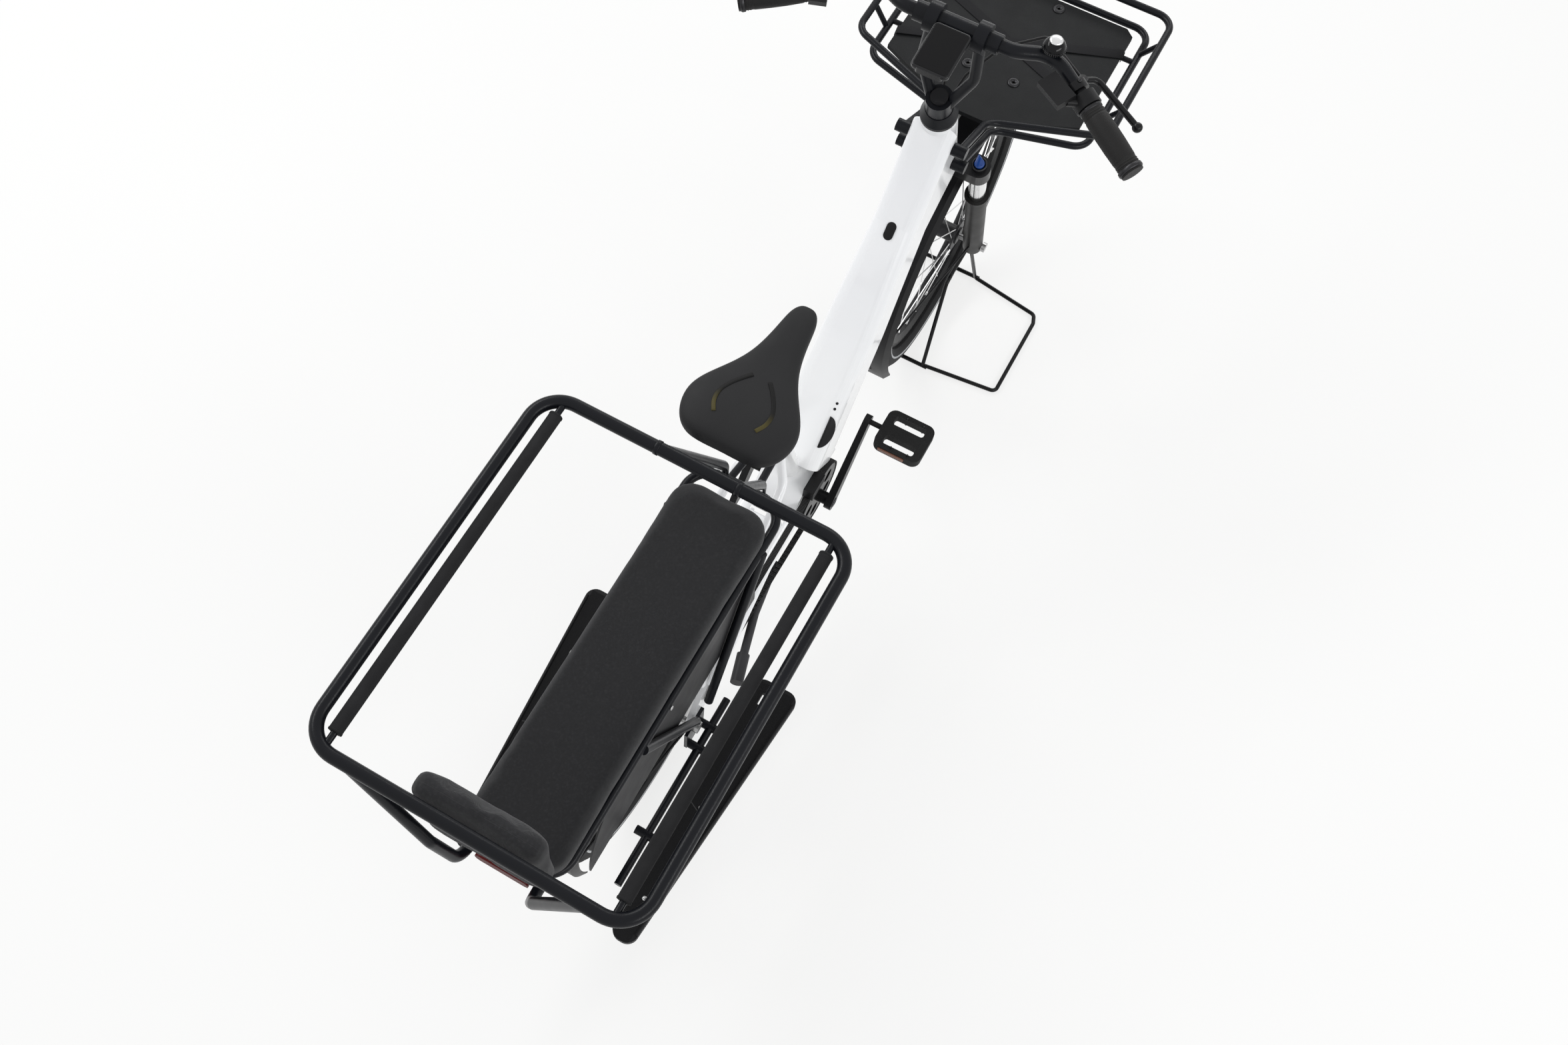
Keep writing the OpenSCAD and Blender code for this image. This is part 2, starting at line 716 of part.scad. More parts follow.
module fork_crown() {
    placed() color([0.12, 0.12, 0.13]) steer_frame() {
        hull() both_sides() translate([fork_offset, leg_y, crown_low_s]) cylinder(r = 21, h = crown_top_s - crown_low_s, $fn = 32);
        translate([0, 0, crown_low_s]) cylinder(r = 26, h = crown_top_s - crown_low_s);
        translate([0, 0, crown_low_s]) cylinder(r = steerer_r, h = stem_top_s + 4 - crown_low_s);
        both_sides() translate([fork_offset, leg_y, seal_s - 60]) cylinder(r = stanchion_r, h = crown_low_s - seal_s + 61);
        translate([fork_offset, -leg_y, crown_top_s]) cylinder(r = 12, h = 10);
        translate([fork_offset, leg_y, crown_top_s]) cylinder(r = 12, h = 4);
    }
}

module fork_legs() {
    placed() color([0.25, 0.25, 0.26]) steer_frame() difference() {
        both_sides() {
            translate([fork_offset, leg_y, -16]) cylinder(r = leg_r, h = seal_s + 16 - 8);
            translate([fork_offset, leg_y, seal_s - 8]) cylinder(r = leg_r + 3, h = 8);
        }
        both_sides() translate([fork_offset, leg_y, seal_s - 70]) cylinder(r = stanchion_r + clear, h = 80);
        translate([fork_offset, 0, 0]) rotate([90, 0, 0]) cylinder(r = axle_r + fit, h = 200, center = true);
    }
}

// Cockpit

stem_arm_r = 9.5;
module stem() {
    placed() color("black") difference() {
        union() {
            steer_frame() {
                translate([0, 0, head_top_s + 8 + clear])
                    cylinder(r1 = head_tube_r, r2 = 23, h = cone_top_s - head_top_s - 8 - clear);
                translate([0, 0, stem_low_s]) cylinder(r = 22, h = stem_top_s - stem_low_s);
                both_sides() bent_tube([[2, 14, stem_low_s + 20], [30, stem_spread / 2 + 5, bar_s - 84],
                    [bar_u - 5, stem_spread / 2, bar_s - 8]], stem_arm_r, 40);
            }
            both_sides() translate([bar_x, stem_spread / 2, bar_z]) rotate([90, 0, 0])
                cylinder(r = bar_r + 8, h = 20, center = true);
        }
        steer_frame() translate([0, 0, head_top_s]) cylinder(r = steerer_r + fit, h = 80);
        translate([bar_x, 0, bar_z]) rotate([90, 0, 0]) cylinder(r = bar_r + fit, h = 200, center = true);
    }
}

// Left half of the handlebar's line, from the middle out to the grip's end
bar_corner = [bar_x + 28, bar_half * 0.442, bar_z - 4];
bar_end = [bar_x - 80, bar_half - 3, bar_z - 44];
bar_line = [[bar_x, 69, bar_z], [bar_x, bar_half * 0.28, bar_z], bar_corner, bar_end];
grip_l = bar_half * 0.352;
grip_dir = unit(bar_end - bar_corner);
grip_start = bar_end - grip_dir * grip_l;
module handlebar() {
    placed() color("black") {
        rod([bar_x, -70, bar_z], [bar_x, 70, bar_z], bar_r);
        both_sides() bent_tube(bar_line, 11.1, 50);
    }
}

module grips() {
    placed() color([0.1, 0.1, 0.1]) both_sides() difference() {
        rod(grip_start, bar_end + grip_dir * 3, 17);
        rod(grip_start - grip_dir, bar_end + grip_dir * clear, 11.4);
    }
}

// The bar's own space, and the grip's, cut from what is clamped beside it
module grip_space() {
    rod(grip_start - grip_dir * 60, grip_start, 11.4);
    rod(grip_start, bar_end, 17 + clear);
}

lever_at = grip_start - grip_dir * 36;
lever_tip = lever_at + grip_dir * grip_l * 0.9 + [61, 15, -14];
module brake_levers() {
    placed() color([0.12, 0.12, 0.12]) both_sides() difference() {
        union() {
            rod(lever_at - grip_dir * 7, lever_at + grip_dir * 7, 17);
            bent_tube([lever_at + [26, 0, -8], lever_at + [46, 18, -16], lever_tip], 5, 14);
            translate(lever_tip) sphere(r = 8, $fn = 32);
            rod(lever_at + [12, 0, -4], lever_at + [28, 0, -9], 9);
        }
        grip_space();
    }
}

// Sideways from the bar's end part to the shifter's window
shift_side = unit(cross(grip_dir, [0.14, 0, 1]) * -1 + [0, 0, 0.12]);
module shifter() {
    placed() color([0.11, 0.11, 0.11]) mirror([0, 1, 0]) difference() {
        union() {
            rod(grip_start - grip_dir * 22, grip_start - grip_dir * clear, 20);
            rod(grip_start - grip_dir * 12 + shift_side * 12, grip_start - grip_dir * 20 + shift_side * 34, 6);
            translate(grip_start - grip_dir * 42 + shift_side * 37)
                rotate([0, -12, atan2(-grip_dir[0], grip_dir[1])]) cube([32, 52, 12], center = true);
        }
        grip_space();
    }
}

module remote() {
    placed() color([0.1, 0.1, 0.1]) difference() {
        union() {
            rod(grip_start - grip_dir * 20, grip_start - grip_dir * 4, 16);
            translate(grip_start - grip_dir * 12 + [-22, -4, 6]) rotate([0, -20, 20]) cube([26, 28, 14], center = true);
        }
        grip_space();
    }
}

module bell() {
    placed() color("silver") translate([bar_corner[0] - 5, -bar_corner[1] + 3, bar_corner[2] + 11.6]) {
        cylinder(r = 6, h = 6);
        translate([0, 0, 6]) intersection() {
            sphere(r = 18);
            translate([-30, -30, 0]) cube(60);
        }
    }
}

module display() {
    placed() color([0.1, 0.1, 0.1]) {
        translate([bar_x - 62, 0, bar_z - 2]) rotate([0, -8, 0]) round_plate([84, 44], 5, 12);
        rod([bar_x - 40, 0, bar_z], [bar_x - bar_r - clear, 0, bar_z], 5);
    }
}

// Front wheel's company

module front_fender() {
    placed() color([0.08, 0.08, 0.08])
        translate([front_axle_x, 0, axle_z]) {
            fender_strip(tyre_r + fender_gap, 70, 60, 210);
            both_sides() rod([-leg_r - 9.6, leg_y, 20], [(tyre_r + 8) * cos(172), 32, (tyre_r + 8) * sin(172)], 2.2);
        }
}

module front_brake() {
    placed() color("black") front_wheel_place() caliper(front_rotor_y, 126, 4.7);
}

// Wire stand that holds the front wheel
stand_in_y = 74;
stand_top_z = 214;
module wire_stand() {
    placed() color([0.07, 0.07, 0.07]) translate([front_axle_x + 10, 0, 0]) {
        r = stand_rod_r;
        bent_tube([[stand_half_l - 2, 6 - stand_in_y, r], [stand_half_l - 26, 8 - stand_reach, r],
            [stand_half_l - 48, -stand_reach, r], [-stand_half_l + 20, -stand_reach, r],
            [-stand_half_l + 2, 6 - stand_in_y, r]], r - 0.2, 12);
        both_sides() bent_tube([[stand_half_l, stand_in_y - 10, r], [56, 47, stand_top_z],
            [-56, 47, stand_top_z], [-stand_half_l, stand_in_y - 10, r]], r - 0.4, 24);
        for (x = [-1, 1]) rod([x * stand_half_l, -stand_in_y, r], [x * stand_half_l, stand_in_y, r], r);
    }
}

// Brake hoses, from the levers round the front and into the cone under the stem
hose_r = 2.5;
module control_cables() {
    placed() color([0.08, 0.08, 0.08]) both_sides()
        bent_tube([lever_at + [31.6, -4, -10], [bar_x + 78, 120, bar_z - 26], [bar_x + 92, 52, bar_z - 100],
            steer_point(62, 16, head_top_s + 38), steer_point(26.8, 8, head_top_s + 18)], hose_r, 26);
}

// Wheels

module tyre(w) {
    rotate([90, 0, 0]) rotate_extrude($fn = 144) difference() {
        translate([tyre_r - w / 2, 0]) circle(r = w / 2, $fn = 32);
        translate([0, -100]) square([rim_r, 200]);
    }
}

module rim(w) {
    rotate([90, 0, 0]) rotate_extrude($fn = 144)
        polygon([[rim_r - clear, -w * 0.42], [rim_r - clear, w * 0.42], [rim_r - 12, w * 0.44],
            [rim_r - 22, w * 0.2], [rim_r - 22, -w * 0.2], [rim_r - 12, -w * 0.44]]);
}

// Spokes from two hub flanges to the rim, crossing in pairs
module spokes(flange_r, flange_y) {
    for (side = [-1, 1], i = [0 : spoke_count / 2 - 1]) {
        a = i * 720 / spoke_count + (side > 0 ? 0 : 360 / spoke_count);
        lead = (i % 2 == 0 ? 1 : -1) * 38;
        rod([flange_r * cos(a + lead), side * flange_y, flange_r * sin(a + lead)],
            [(rim_r - 22.8) * cos(a), 0, (rim_r - 22.8) * sin(a)], 1.1, $fn = 6);
    }
}

module hub_turning(flange_r, body_r, half_w, rotor_y) {
    difference() {
        union() {
            rotate([90, 0, 0]) {
                cylinder(r = body_r, h = 2 * half_w, center = true);
                for (y = [-1, 1]) translate([0, 0, y * (half_w - 6)]) cylinder(r = flange_r + 4, h = 5, center = true);
            }
            spokes(flange_r, half_w - 6);
            translate([0, rotor_y, 0]) rotate([90, 0, 0]) cylinder(r = rotor_r, h = rotor_t, center = true);
            rotate([90, 0, 0]) translate([0, 0, -rotor_y - 2]) cylinder(r = 24, h = rotor_y - half_w + 4);
        }
        rotate([90, 0, 0]) cylinder(r = axle_r + fit, h = 300, center = true);
    }
}

// Axles, with a nut or a lever's end outside
module axle(half, end_r) {
    rotate([90, 0, 0]) {
        cylinder(r = axle_r, h = 2 * half + 2, center = true);
        for (y = [-1, 1]) translate([0, 0, y * (half + clear + 4)]) cylinder(r = end_r, h = 8, center = true);
    }
}

module front_axle() { placed() color("silver") front_wheel_place() axle(leg_y + leg_r, 10); }
module rear_axle() { placed() color("silver") rear_wheel_place() axle(board_plate_y, 11); }

module front_wheel_place() { translate([front_axle_x, 0, axle_z]) children(); }
module rear_wheel_place() { translate([rear_axle_x, 0, axle_z]) children(); }

module front_tyre() { placed() color([0.1, 0.1, 0.1]) front_wheel_place() tyre(front_tyre_w); }
module front_rim() { placed() color("black") front_wheel_place() rim(26); }
module front_hub() { placed() color("silver") front_wheel_place() hub_turning(28, 18, 34, front_rotor_y); }
module rear_tyre() { placed() color([0.1, 0.1, 0.1]) rear_wheel_place() tyre(rear_tyre_w); }
module rear_rim() { placed() color("black") rear_wheel_place() rim(28); }
module rear_hub() { placed() color("silver") rear_wheel_place() hub_turning(66, 60, 38, rear_rotor_y); }

module rear_sprocket() {
    placed() color("silver") rear_wheel_place() translate([0, -belt_y, 0]) rotate([90, 0, 0])
        difference() {
            cylinder(r = cog_r, h = 9, center = true);
            cylinder(r = axle_r + fit, h = 20, center = true);
        }
}

// Cranks and pedals

crank_y = 84;
module crankset() {
    placed() color([0.2, 0.2, 0.2]) translate([0, 0, bb_z]) {
        rotate([90, 0, 0]) cylinder(r = 12, h = 2 * crank_y, center = true);
        for (s = [-1, 1]) rotate([0, s > 0 ? 135 : -45, 0])
            translate([0, s * crank_y, 0]) rotate([90, 0, 0]) difference() {
                hull() {
                    cylinder(r = 17, h = 14, center = true, $fn = 32);
                    translate([crank_l, 0, 0]) cylinder(r = 12, h = 12, center = true, $fn = 32);
                }
                translate([crank_l, 0, 0]) cylinder(r = 5.05, h = 40, center = true);
            }
    }
}

module front_sprocket() {
    placed() color([0.15, 0.15, 0.15]) translate([0, -belt_y, bb_z]) rotate([90, 0, 0])
        difference() {
            cylinder(r = sprocket_r, h = 9, center = true, $fn = 96);
            cylinder(r = 12.3, h = 20, center = true);
            for (a = [0 : 72 : 288]) rotate(a + 36) translate([40, 0, 0]) cylinder(r = 14, h = 20, center = true);
        }
}

// A pedal on the left, with its spindle towards the bike
module pedal() {
    rotate([90, 0, 0]) translate([0, 0, -56]) cylinder(r = 5, h = 64);
    difference() {
        translate([0, 60, -9]) round_plate([84, 92], 16, 18);
        for (x = [-22, 22]) translate([x, 60, -20]) round_plate([20, 60], 5, 40);
    }
}

module pedal_left() {
    placed() color("black") translate([crank_l * cos(135), crank_y + 14, bb_z - crank_l * sin(135)]) pedal();
}

module pedal_right() {
    placed() color("black") translate([crank_l * cos(45), -crank_y - 14, bb_z + crank_l * sin(45)])
        mirror([0, 1, 0]) pedal();
}

// Two-leg kickstand, folded up

module kickstand() {
    placed() color("dimgray") translate([kick_x, 0, kick_z]) rotate([0, kick_rest_angle, 0]) {
        rotate([90, 0, 0]) cylinder(r = kick_pin_r, h = 2 * kick_y, center = true);
        rotate([90, 0, 0]) cylinder(r = 14, h = 2 * (kick_ear_y - clear), center = true);
        both_sides() {
            rotate([90, 0, 0]) translate([0, 0, -kick_y - 6]) cylinder(r = 13, h = 16 - clear);
            bent_tube([[0, kick_y + 2, 0], [-104, 60, 0], [-kick_l + 50, kick_foot_y - 14, 0]], 8, 60);
            rod([-kick_l + 56, kick_foot_y - 16, 0], [-kick_l, kick_foot_y, 0], 12);
        }
    }
}

frame_main();
rear_stays();
motor();
battery();
headset();
seatpost();
saddle();
rear_rack();
seat_pad();
guard_rail();
rail_foam();
backrest();
running_boards();
board_frame();
rear_fender();
wheel_skirts();
front_rack();
front_deck();
headlamp();
tail_lamp();
ring_lock();
belt();
belt_guard();
rear_brake();
rear_axle();
fork_crown();
fork_legs();
front_axle();
stem();
handlebar();
grips();
brake_levers();
shifter();
remote();
bell();
display();
front_fender();
front_brake();
wire_stand();
control_cables();
front_tyre();
front_rim();
front_hub();
rear_tyre();
rear_rim();
rear_hub();
rear_sprocket();
crankset();
front_sprocket();
pedal_left();
pedal_right();
kickstand();
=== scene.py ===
import json
import math

import bmesh
import bpy
from mathutils import Matrix, Vector
from mathutils.bvhtree import BVHTree


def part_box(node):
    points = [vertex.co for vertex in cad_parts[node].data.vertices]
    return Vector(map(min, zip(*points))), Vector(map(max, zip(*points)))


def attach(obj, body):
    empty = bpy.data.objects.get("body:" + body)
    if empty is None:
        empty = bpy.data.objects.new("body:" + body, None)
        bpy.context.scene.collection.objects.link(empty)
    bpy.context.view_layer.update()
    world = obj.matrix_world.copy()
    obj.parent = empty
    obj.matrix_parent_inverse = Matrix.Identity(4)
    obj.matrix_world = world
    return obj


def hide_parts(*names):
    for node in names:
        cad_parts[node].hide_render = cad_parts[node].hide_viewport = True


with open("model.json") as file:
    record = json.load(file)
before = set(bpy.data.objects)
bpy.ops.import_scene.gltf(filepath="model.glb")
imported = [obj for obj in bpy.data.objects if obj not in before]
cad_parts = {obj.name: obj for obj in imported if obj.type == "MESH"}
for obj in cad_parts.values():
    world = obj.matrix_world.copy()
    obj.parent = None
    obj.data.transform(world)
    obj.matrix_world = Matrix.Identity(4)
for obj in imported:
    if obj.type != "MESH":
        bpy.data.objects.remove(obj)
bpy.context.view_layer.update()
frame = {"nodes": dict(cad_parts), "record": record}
nodes = frame["nodes"]
scene = bpy.context.scene
print("frame loaded:", len(nodes), "nodes")

# places in the bike's frame, in metres; an axle or foot is its (x, z) in side view
bike = {
    "frontAxle": (0.6685, 0.308),
    "rearAxle": (-0.5015, 0.308),
    "crankAxle": (0.0085, 0.3),
    "tyreRadius": 0.308,
    "steerFoot": (0.64219, 0.29842),
    "steerTilt": 20,
}


def linked(name, data):
    made = bpy.data.objects.new(name, data)
    scene.collection.objects.link(made)
    return made


view = {
    "place": (-1.257, -0.4485, 2.89),
    "turn": 28.48,
    "dip": 64.55,
    "roll": 1.53,
    "lens": 35.54,
    "shiftX": 0.0673,
    "far": 60,
}


def makeCamera():
    a, d, r = (math.radians(view[k]) for k in ("turn", "dip", "roll"))
    ahead = Vector((math.cos(a) * math.cos(d), math.sin(a) * math.cos(d), -math.sin(d)))
    side = Vector((math.sin(a), -math.cos(a), 0))
    up = side.cross(ahead)
    right = math.cos(r) * side + math.sin(r) * up
    top = -math.sin(r) * side + math.cos(r) * up
    camera = linked("camera", bpy.data.cameras.new("camera"))
    turn = Matrix((right, top, -ahead)).transposed()
    camera.matrix_world = Matrix.Translation(Vector(view["place"])) @ turn.to_4x4()
    camera.data.lens = view["lens"]
    camera.data.shift_x = view["shiftX"]
    camera.data.clip_end = view["far"]
    scene.camera = camera


# a socket that can be added, multiplied and compared like a number
class Term:
    def __init__(self, paint, socket):
        self.paint, self.socket = paint, socket

    def sum(self, operation, *others):
        return self.paint.add("ShaderNodeMath", {"operation": operation},
                              dict(enumerate((self, *others))))

    def __add__(self, other): return self.sum("ADD", other)
    def __sub__(self, other): return self.sum("SUBTRACT", other)
    def __rsub__(self, other): return (self * -1) + other
    def __mul__(self, other): return self.sum("MULTIPLY", other)
    def __pow__(self, other): return self.sum("POWER", other)
    def __gt__(self, other): return self.sum("GREATER_THAN", other)
    def __lt__(self, other): return self.sum("LESS_THAN", other)
    def between(self, low, high): return (self > low) * (self < high)
    def size(self): return self.sum("ABSOLUTE")
    def most(self, other): return self.sum("MAXIMUM", other)
    def wave(self): return self.sum("SINE")
    def turn(self, other): return self.sum("ARCTAN2", other)


finishes = {}


# one material, or the world's light: constants go on the shader, the rest is linked
class Paint:
    def __init__(self, name, colour=None, roughness=None, shine=None, owner=None, **shader):
        self.material = owner or bpy.data.materials.new(name)
        self.material.use_nodes = True
        self.tree = self.material.node_tree
        self.tree.nodes.clear()
        kind = "World" if owner else "Material"
        self.out = self.tree.nodes.new("ShaderNodeOutput" + kind)
        if not owner:
            finishes[name] = self.material
            shader.update({"Base Color": colour, "Roughness": roughness})
            if shine:
                shader["Specular IOR Level"] = shine
            self.shader = self.add("ShaderNodeBsdfPrincipled", {}, shader).socket.node
            self.tree.links.new(self.shader.outputs[0], self.out.inputs[0])
        self.place = self.add("ShaderNodeTexCoord", out="Object")

    def add(self, kind, settings=None, inputs=None, out=0):
        node = self.tree.nodes.new(kind)
        for key, value in (settings or {}).items():
            setattr(node, key, value)
        for key, value in (inputs or {}).items():
            if isinstance(value, Term):
                self.tree.links.new(value.socket, node.inputs[key])
            else:
                node.inputs[key].default_value = value
        return Term(self, node.outputs[out])

    def mixInto(self, share, first, second):
        both = self.add("ShaderNodeMixShader", {}, {0: share, 1: first, 2: second})
        self.tree.links.new(both.socket, self.out.inputs[0])

    # 1 where a ray looks straight, by a mirror or through glass, 0 where it only carries light
    def looked(self):
        rays = self.add("ShaderNodeLightPath")
        seen = [Term(self, rays.socket.node.outputs[k])
                for k in ("Is Camera Ray", "Is Glossy Ray", "Is Transmission Ray")]
        return seen[0].most(seen[1]).most(seen[2])

    def set(self, **links):
        for key, value in links.items():
            name = "Base Color" if key == "colour" else key.capitalize()
            self.tree.links.new(value.socket, self.shader.inputs[name])

    def xyz(self):
        split = self.add("ShaderNodeSeparateXYZ", {}, {0: self.place})
        return [Term(self, split.socket.node.outputs[i]) for i in range(3)]

    def noise(self, scale, detail=3, rough=0.5, stretch=None):
        place = self.place
        if stretch:
            place = self.add("ShaderNodeMapping", {}, {"Vector": place, "Scale": stretch})
        inputs = {"Vector": place, "Scale": scale, "Detail": detail, "Roughness": rough}
        return self.add("ShaderNodeTexNoise", {"noise_dimensions": "3D"}, inputs)

    def cells(self, scale, feature="F1"):
        return self.add("ShaderNodeTexVoronoi", {"feature": feature},
                        {"Vector": self.place, "Scale": scale}, "Distance")

    def mix(self, share, first, second):
        return self.add("ShaderNodeMix", {"data_type": "RGBA"},
                        {0: share, 6: first, 7: second}, 2)

    def ease(self, value, low, high, to=(0, 1)):
        return self.add("ShaderNodeMapRange", {"interpolation_type": "SMOOTHSTEP"},
                        {0: value, 1: low, 2: high, 3: to[0], 4: to[1]})

    def bump(self, height, depth, strength=1):
        inputs = {"Strength": strength, "Distance": depth, "Height": height}
        return self.add("ShaderNodeBump", {}, inputs)


def grey(value, blue=0):
    return (value, value, value + blue, 1)


def scaled(colour, share, lift=0):
    return tuple(min(1, c * share + lift) for c in colour[:3]) + (1,)


# distance from an axle in side view
def reach(x, z, axle):
    return ((x - axle[0]) ** 2 + (z - axle[1]) ** 2) ** 0.5


# how much a dark surface shines
dullShine = 0.18
blacks = {
    # tone, roughness
    "black_satin": (0.006, 0.42), "fender_plastic": (0.006, 0.42), "brake_metal": (0.008, 0.36),
    "lever_black": (0.006, 0.3), "cable_black": (0.005, 0.38), "rim_black": (0.007, 0.36),
    "crank_dark": (0.007, 0.34), "bell_black": (0.003, 0.16),
}
mouldings = {
    # colour, roughness, scale and depth of the grain, and clear coat if there is one
    "fork_grey": ((0.0105, 0.0102, 0.0098, 1), 0.42, 700, 0.00008),
    "saddle_cover": (grey(0.0135, 0.0007), 0.6, 1500, 0.00015),
    "skirt_plastic": (grey(0.015, 0.001), 0.46, 800, 0.0001),
    "deck_plastic": ((0.0055, 0.006, 0.0065, 1), 0.6, 1100, 0.00025),
    "lamp_body": (grey(0.008, 0.001), 0.25, 500, 0.00003, 0.2),
    "lamp_lens": ((0.62, 0.63, 0.64, 1), 0.12, 260, 0.0005, 0.8),
    "tail_lens": ((0.08, 0.004, 0.004, 1), 0.5, 300, 0.0002),
    "grip_rubber": ((0.0115, 0.0112, 0.011, 1), 0.55, 650, 0.00035),
    "display_glass": (grey(0.002, 0.0005), 0.08, 200, 0.00001),
    "stand_wire": (grey(0.004, 0.0005), 0.24, 300, 0.0001),
    "pedal_plastic": (grey(0.0075), 0.6, 900, 0.0004),
    "stand_grey": (grey(0.03, 0.002), 0.45, 700, 0.0001),
    "motor_shell": (grey(0.012, 0.0015), 0.48, 800, 0.00012),
    "webbing": (grey(0.012, 0.001), 0.85, 1600, 0.0003),
    "olive_groove": ((0.045, 0.038, 0.012, 1), 0.6, 900, 0.0001),
    "amber_reflector": ((0.15, 0.06, 0.035, 1), 0.25, 260, 0.0006, 0.3),
    "blue_knob": ((0.006, 0.042, 0.2, 1), 0.28, 400, 0.00003, 0.6),
}
metals = {
    # colour, roughness, and stretch of the brushed lines if they have one
    "steel": (grey(0.55), 0.32),
    "bright_alloy": (grey(0.68), 0.3, (1, 1, 0.1)),
    "bell_silver": (grey(0.75), 0.2),
    "blackBolt": (grey(0.04, 0.002), 0.36),
}
tailLens = {"deep": 0.005, "housing": grey(0.005)}
inlay = {"olive": (0.06, 0.05, 0.015, 1), "dark": grey(0.004), "fade": (-0.262, -0.232)}


def dull(name, colour, roughness, **more):
    return Paint(name, colour, roughness, dullShine, **more)


def plastic(name, colour, roughness, grain=800, depth=0.00006, coat=0):
    paint = dull(name, colour, roughness, **{"Coat Weight": coat, "Coat Roughness": 0.15})
    cloud = paint.noise(7, 4)
    paint.set(colour=paint.mix(cloud * 0.25, colour, scaled(colour, 1.8, 0.001)),
              roughness=paint.noise(26, 3) * 0.16 + (roughness - 0.08),
              normal=paint.bump(paint.noise(grain, 3), depth))
    return paint


def metal(name, colour, roughness, stretch=(1, 1, 1)):
    paint = Paint(name, colour, roughness, **{"Metallic": 1})
    lines = paint.noise(500, 4, 0.6, stretch)
    paint.set(roughness=paint.noise(18, 3) * 0.18 + lines * 0.1 + (roughness - 0.13),
              colour=paint.mix(paint.noise(11, 4) * 0.5, colour, scaled(colour, 0.72)),
              normal=paint.bump(lines, 0.00003))


def paintMouldings():
    for name, (tone, roughness) in blacks.items():
        plastic(name, grey(tone, 0.0006), roughness)
    made = {name: plastic(name, *row) for name, row in mouldings.items()}
    for name, row in metals.items():
        metal(name, *row)

    # only the tail lamp's back face is a lens
    paint = made["tail_lens"]
    x, y, z = paint.xyz()
    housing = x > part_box("tail_lamp")[0][0] + tailLens["deep"]
    paint.set(colour=paint.mix(housing, mouldings["tail_lens"][0], tailLens["housing"]))

    # the saddle's inlays fade from olive at the tail to black
    paint = made["olive_groove"]
    x, y, z = paint.xyz()
    paint.set(colour=paint.mix(paint.ease(x, *inlay["fade"]), inlay["olive"], inlay["dark"]))


lacquer = {"colour": (0.88, 0.885, 0.885, 1), "shade": (0.84, 0.845, 0.86, 1),
           "roughness": 0.22, "coat": 0.5}


# glossy white lacquer over welded tubes
def paintFrame():
    paint = Paint("frame_paint", lacquer["colour"], lacquer["roughness"],
                  **{"Coat Weight": lacquer["coat"], "Coat Roughness": 0.06})
    cloud = paint.ease(paint.noise(3.2, 4), 0.35, 0.75)
    paint.set(colour=paint.mix(cloud, lacquer["colour"], lacquer["shade"]),
              roughness=paint.noise(30, 3) * 0.12 + 0.18,
              normal=paint.bump(paint.noise(120, 2) + paint.noise(900, 2) * 0.2, 0.0001))


powder = {"colour": (0.0042, 0.0046, 0.0062, 1), "worn": (0.0075, 0.0085, 0.0115, 1),
          "roughness": 0.3, "shine": 0.16}


# blue-black satin powder coat on the bent tubes
def paintTubes():
    paint = Paint("tube_black", powder["colour"], powder["roughness"], powder["shine"])
    peel = paint.cells(620, "SMOOTH_F1")
    paint.set(colour=paint.mix(paint.noise(6, 4) * 0.5, powder["colour"], powder["worn"]),
              roughness=paint.noise(40, 3) * 0.14 + 0.24,
              normal=paint.bump(peel, 0.00012, 0.8))


cloth = {
    "dark": grey(0.016, 0.0015),
    "light": grey(0.034, 0.003),
    # painted shade: a dark grey mixed into the seat's cover
    "paintedShade": grey(0.004, 0.001),
    "threads": 1150,
    "seamHalf": 0.0011,
    # below the first height it is the seat's cover, darkened by painted shade, above the second
    # the backrest's
    "heights": (0.72, 0.8),
    # share of the cloth's own tone on the seat; the rest is painted shade
    "seatLitShare": 0.62,
}


# woven cover cloth: two crossing sets of threads, with slubs, a little lint and a seam, and
# painted shade that darkens the seat's cover below the backrest's
def paintCloth():
    paint = dull("pad_fabric", grey(0.026, 0.002), 0.92,
                 **{"Sheen Weight": 0.2, "Sheen Roughness": 0.5})
    x, y, z = paint.xyz()
    rate = cloth["threads"] * math.pi
    warp = ((x + z) * rate).wave().size()
    weft = ((y + z * 0.5) * rate).wave().size()
    seatSeam = (z - pad["seam"]).size() < cloth["seamHalf"]
    restSeam = ((x - rest["seam"]).size() < cloth["seamHalf"]) * (z > 0.78)
    lint = paint.ease(paint.noise(260, 5, 0.7), 0.45, 0.8)
    worn = paint.mix(lint, cloth["dark"], cloth["light"])
    # painted shade: the seat's cover is mixed toward a dark grey, so it renders darker than the
    # backrest of the same cloth
    share = paint.ease(z, *cloth["heights"], (cloth["seatLitShare"], 1))
    height = warp * weft + paint.noise(14, 3) * 1.2 - seatSeam.most(restSeam) * 6
    paint.set(colour=paint.mix(share, cloth["paintedShade"], worn),
              roughness=paint.noise(60, 3) * 0.1 + 0.84,
              normal=paint.bump(height, 0.00032))


# rubbery foam sleeve
def paintFoam():
    paint = dull("foam", grey(0.02, 0.001), 0.85)
    paint.set(colour=paint.mix(paint.noise(30, 4), grey(0.008, 0.0005), grey(0.02, 0.001)),
              roughness=paint.noise(80, 3) * 0.12 + 0.78,
              normal=paint.bump(paint.cells(900) + paint.noise(40, 3), 0.00025))


tape = {
    "top": 0.2905,
    "inner": 0.138,
    "front": -0.366,
    # the outer edge flares with the board
    "outer": 0.236,
    "flare": 0.0769,
    # the slanted joint between two lengths of tape
    "joint": 0.548,
    "jointHalf": 0.0008,
}


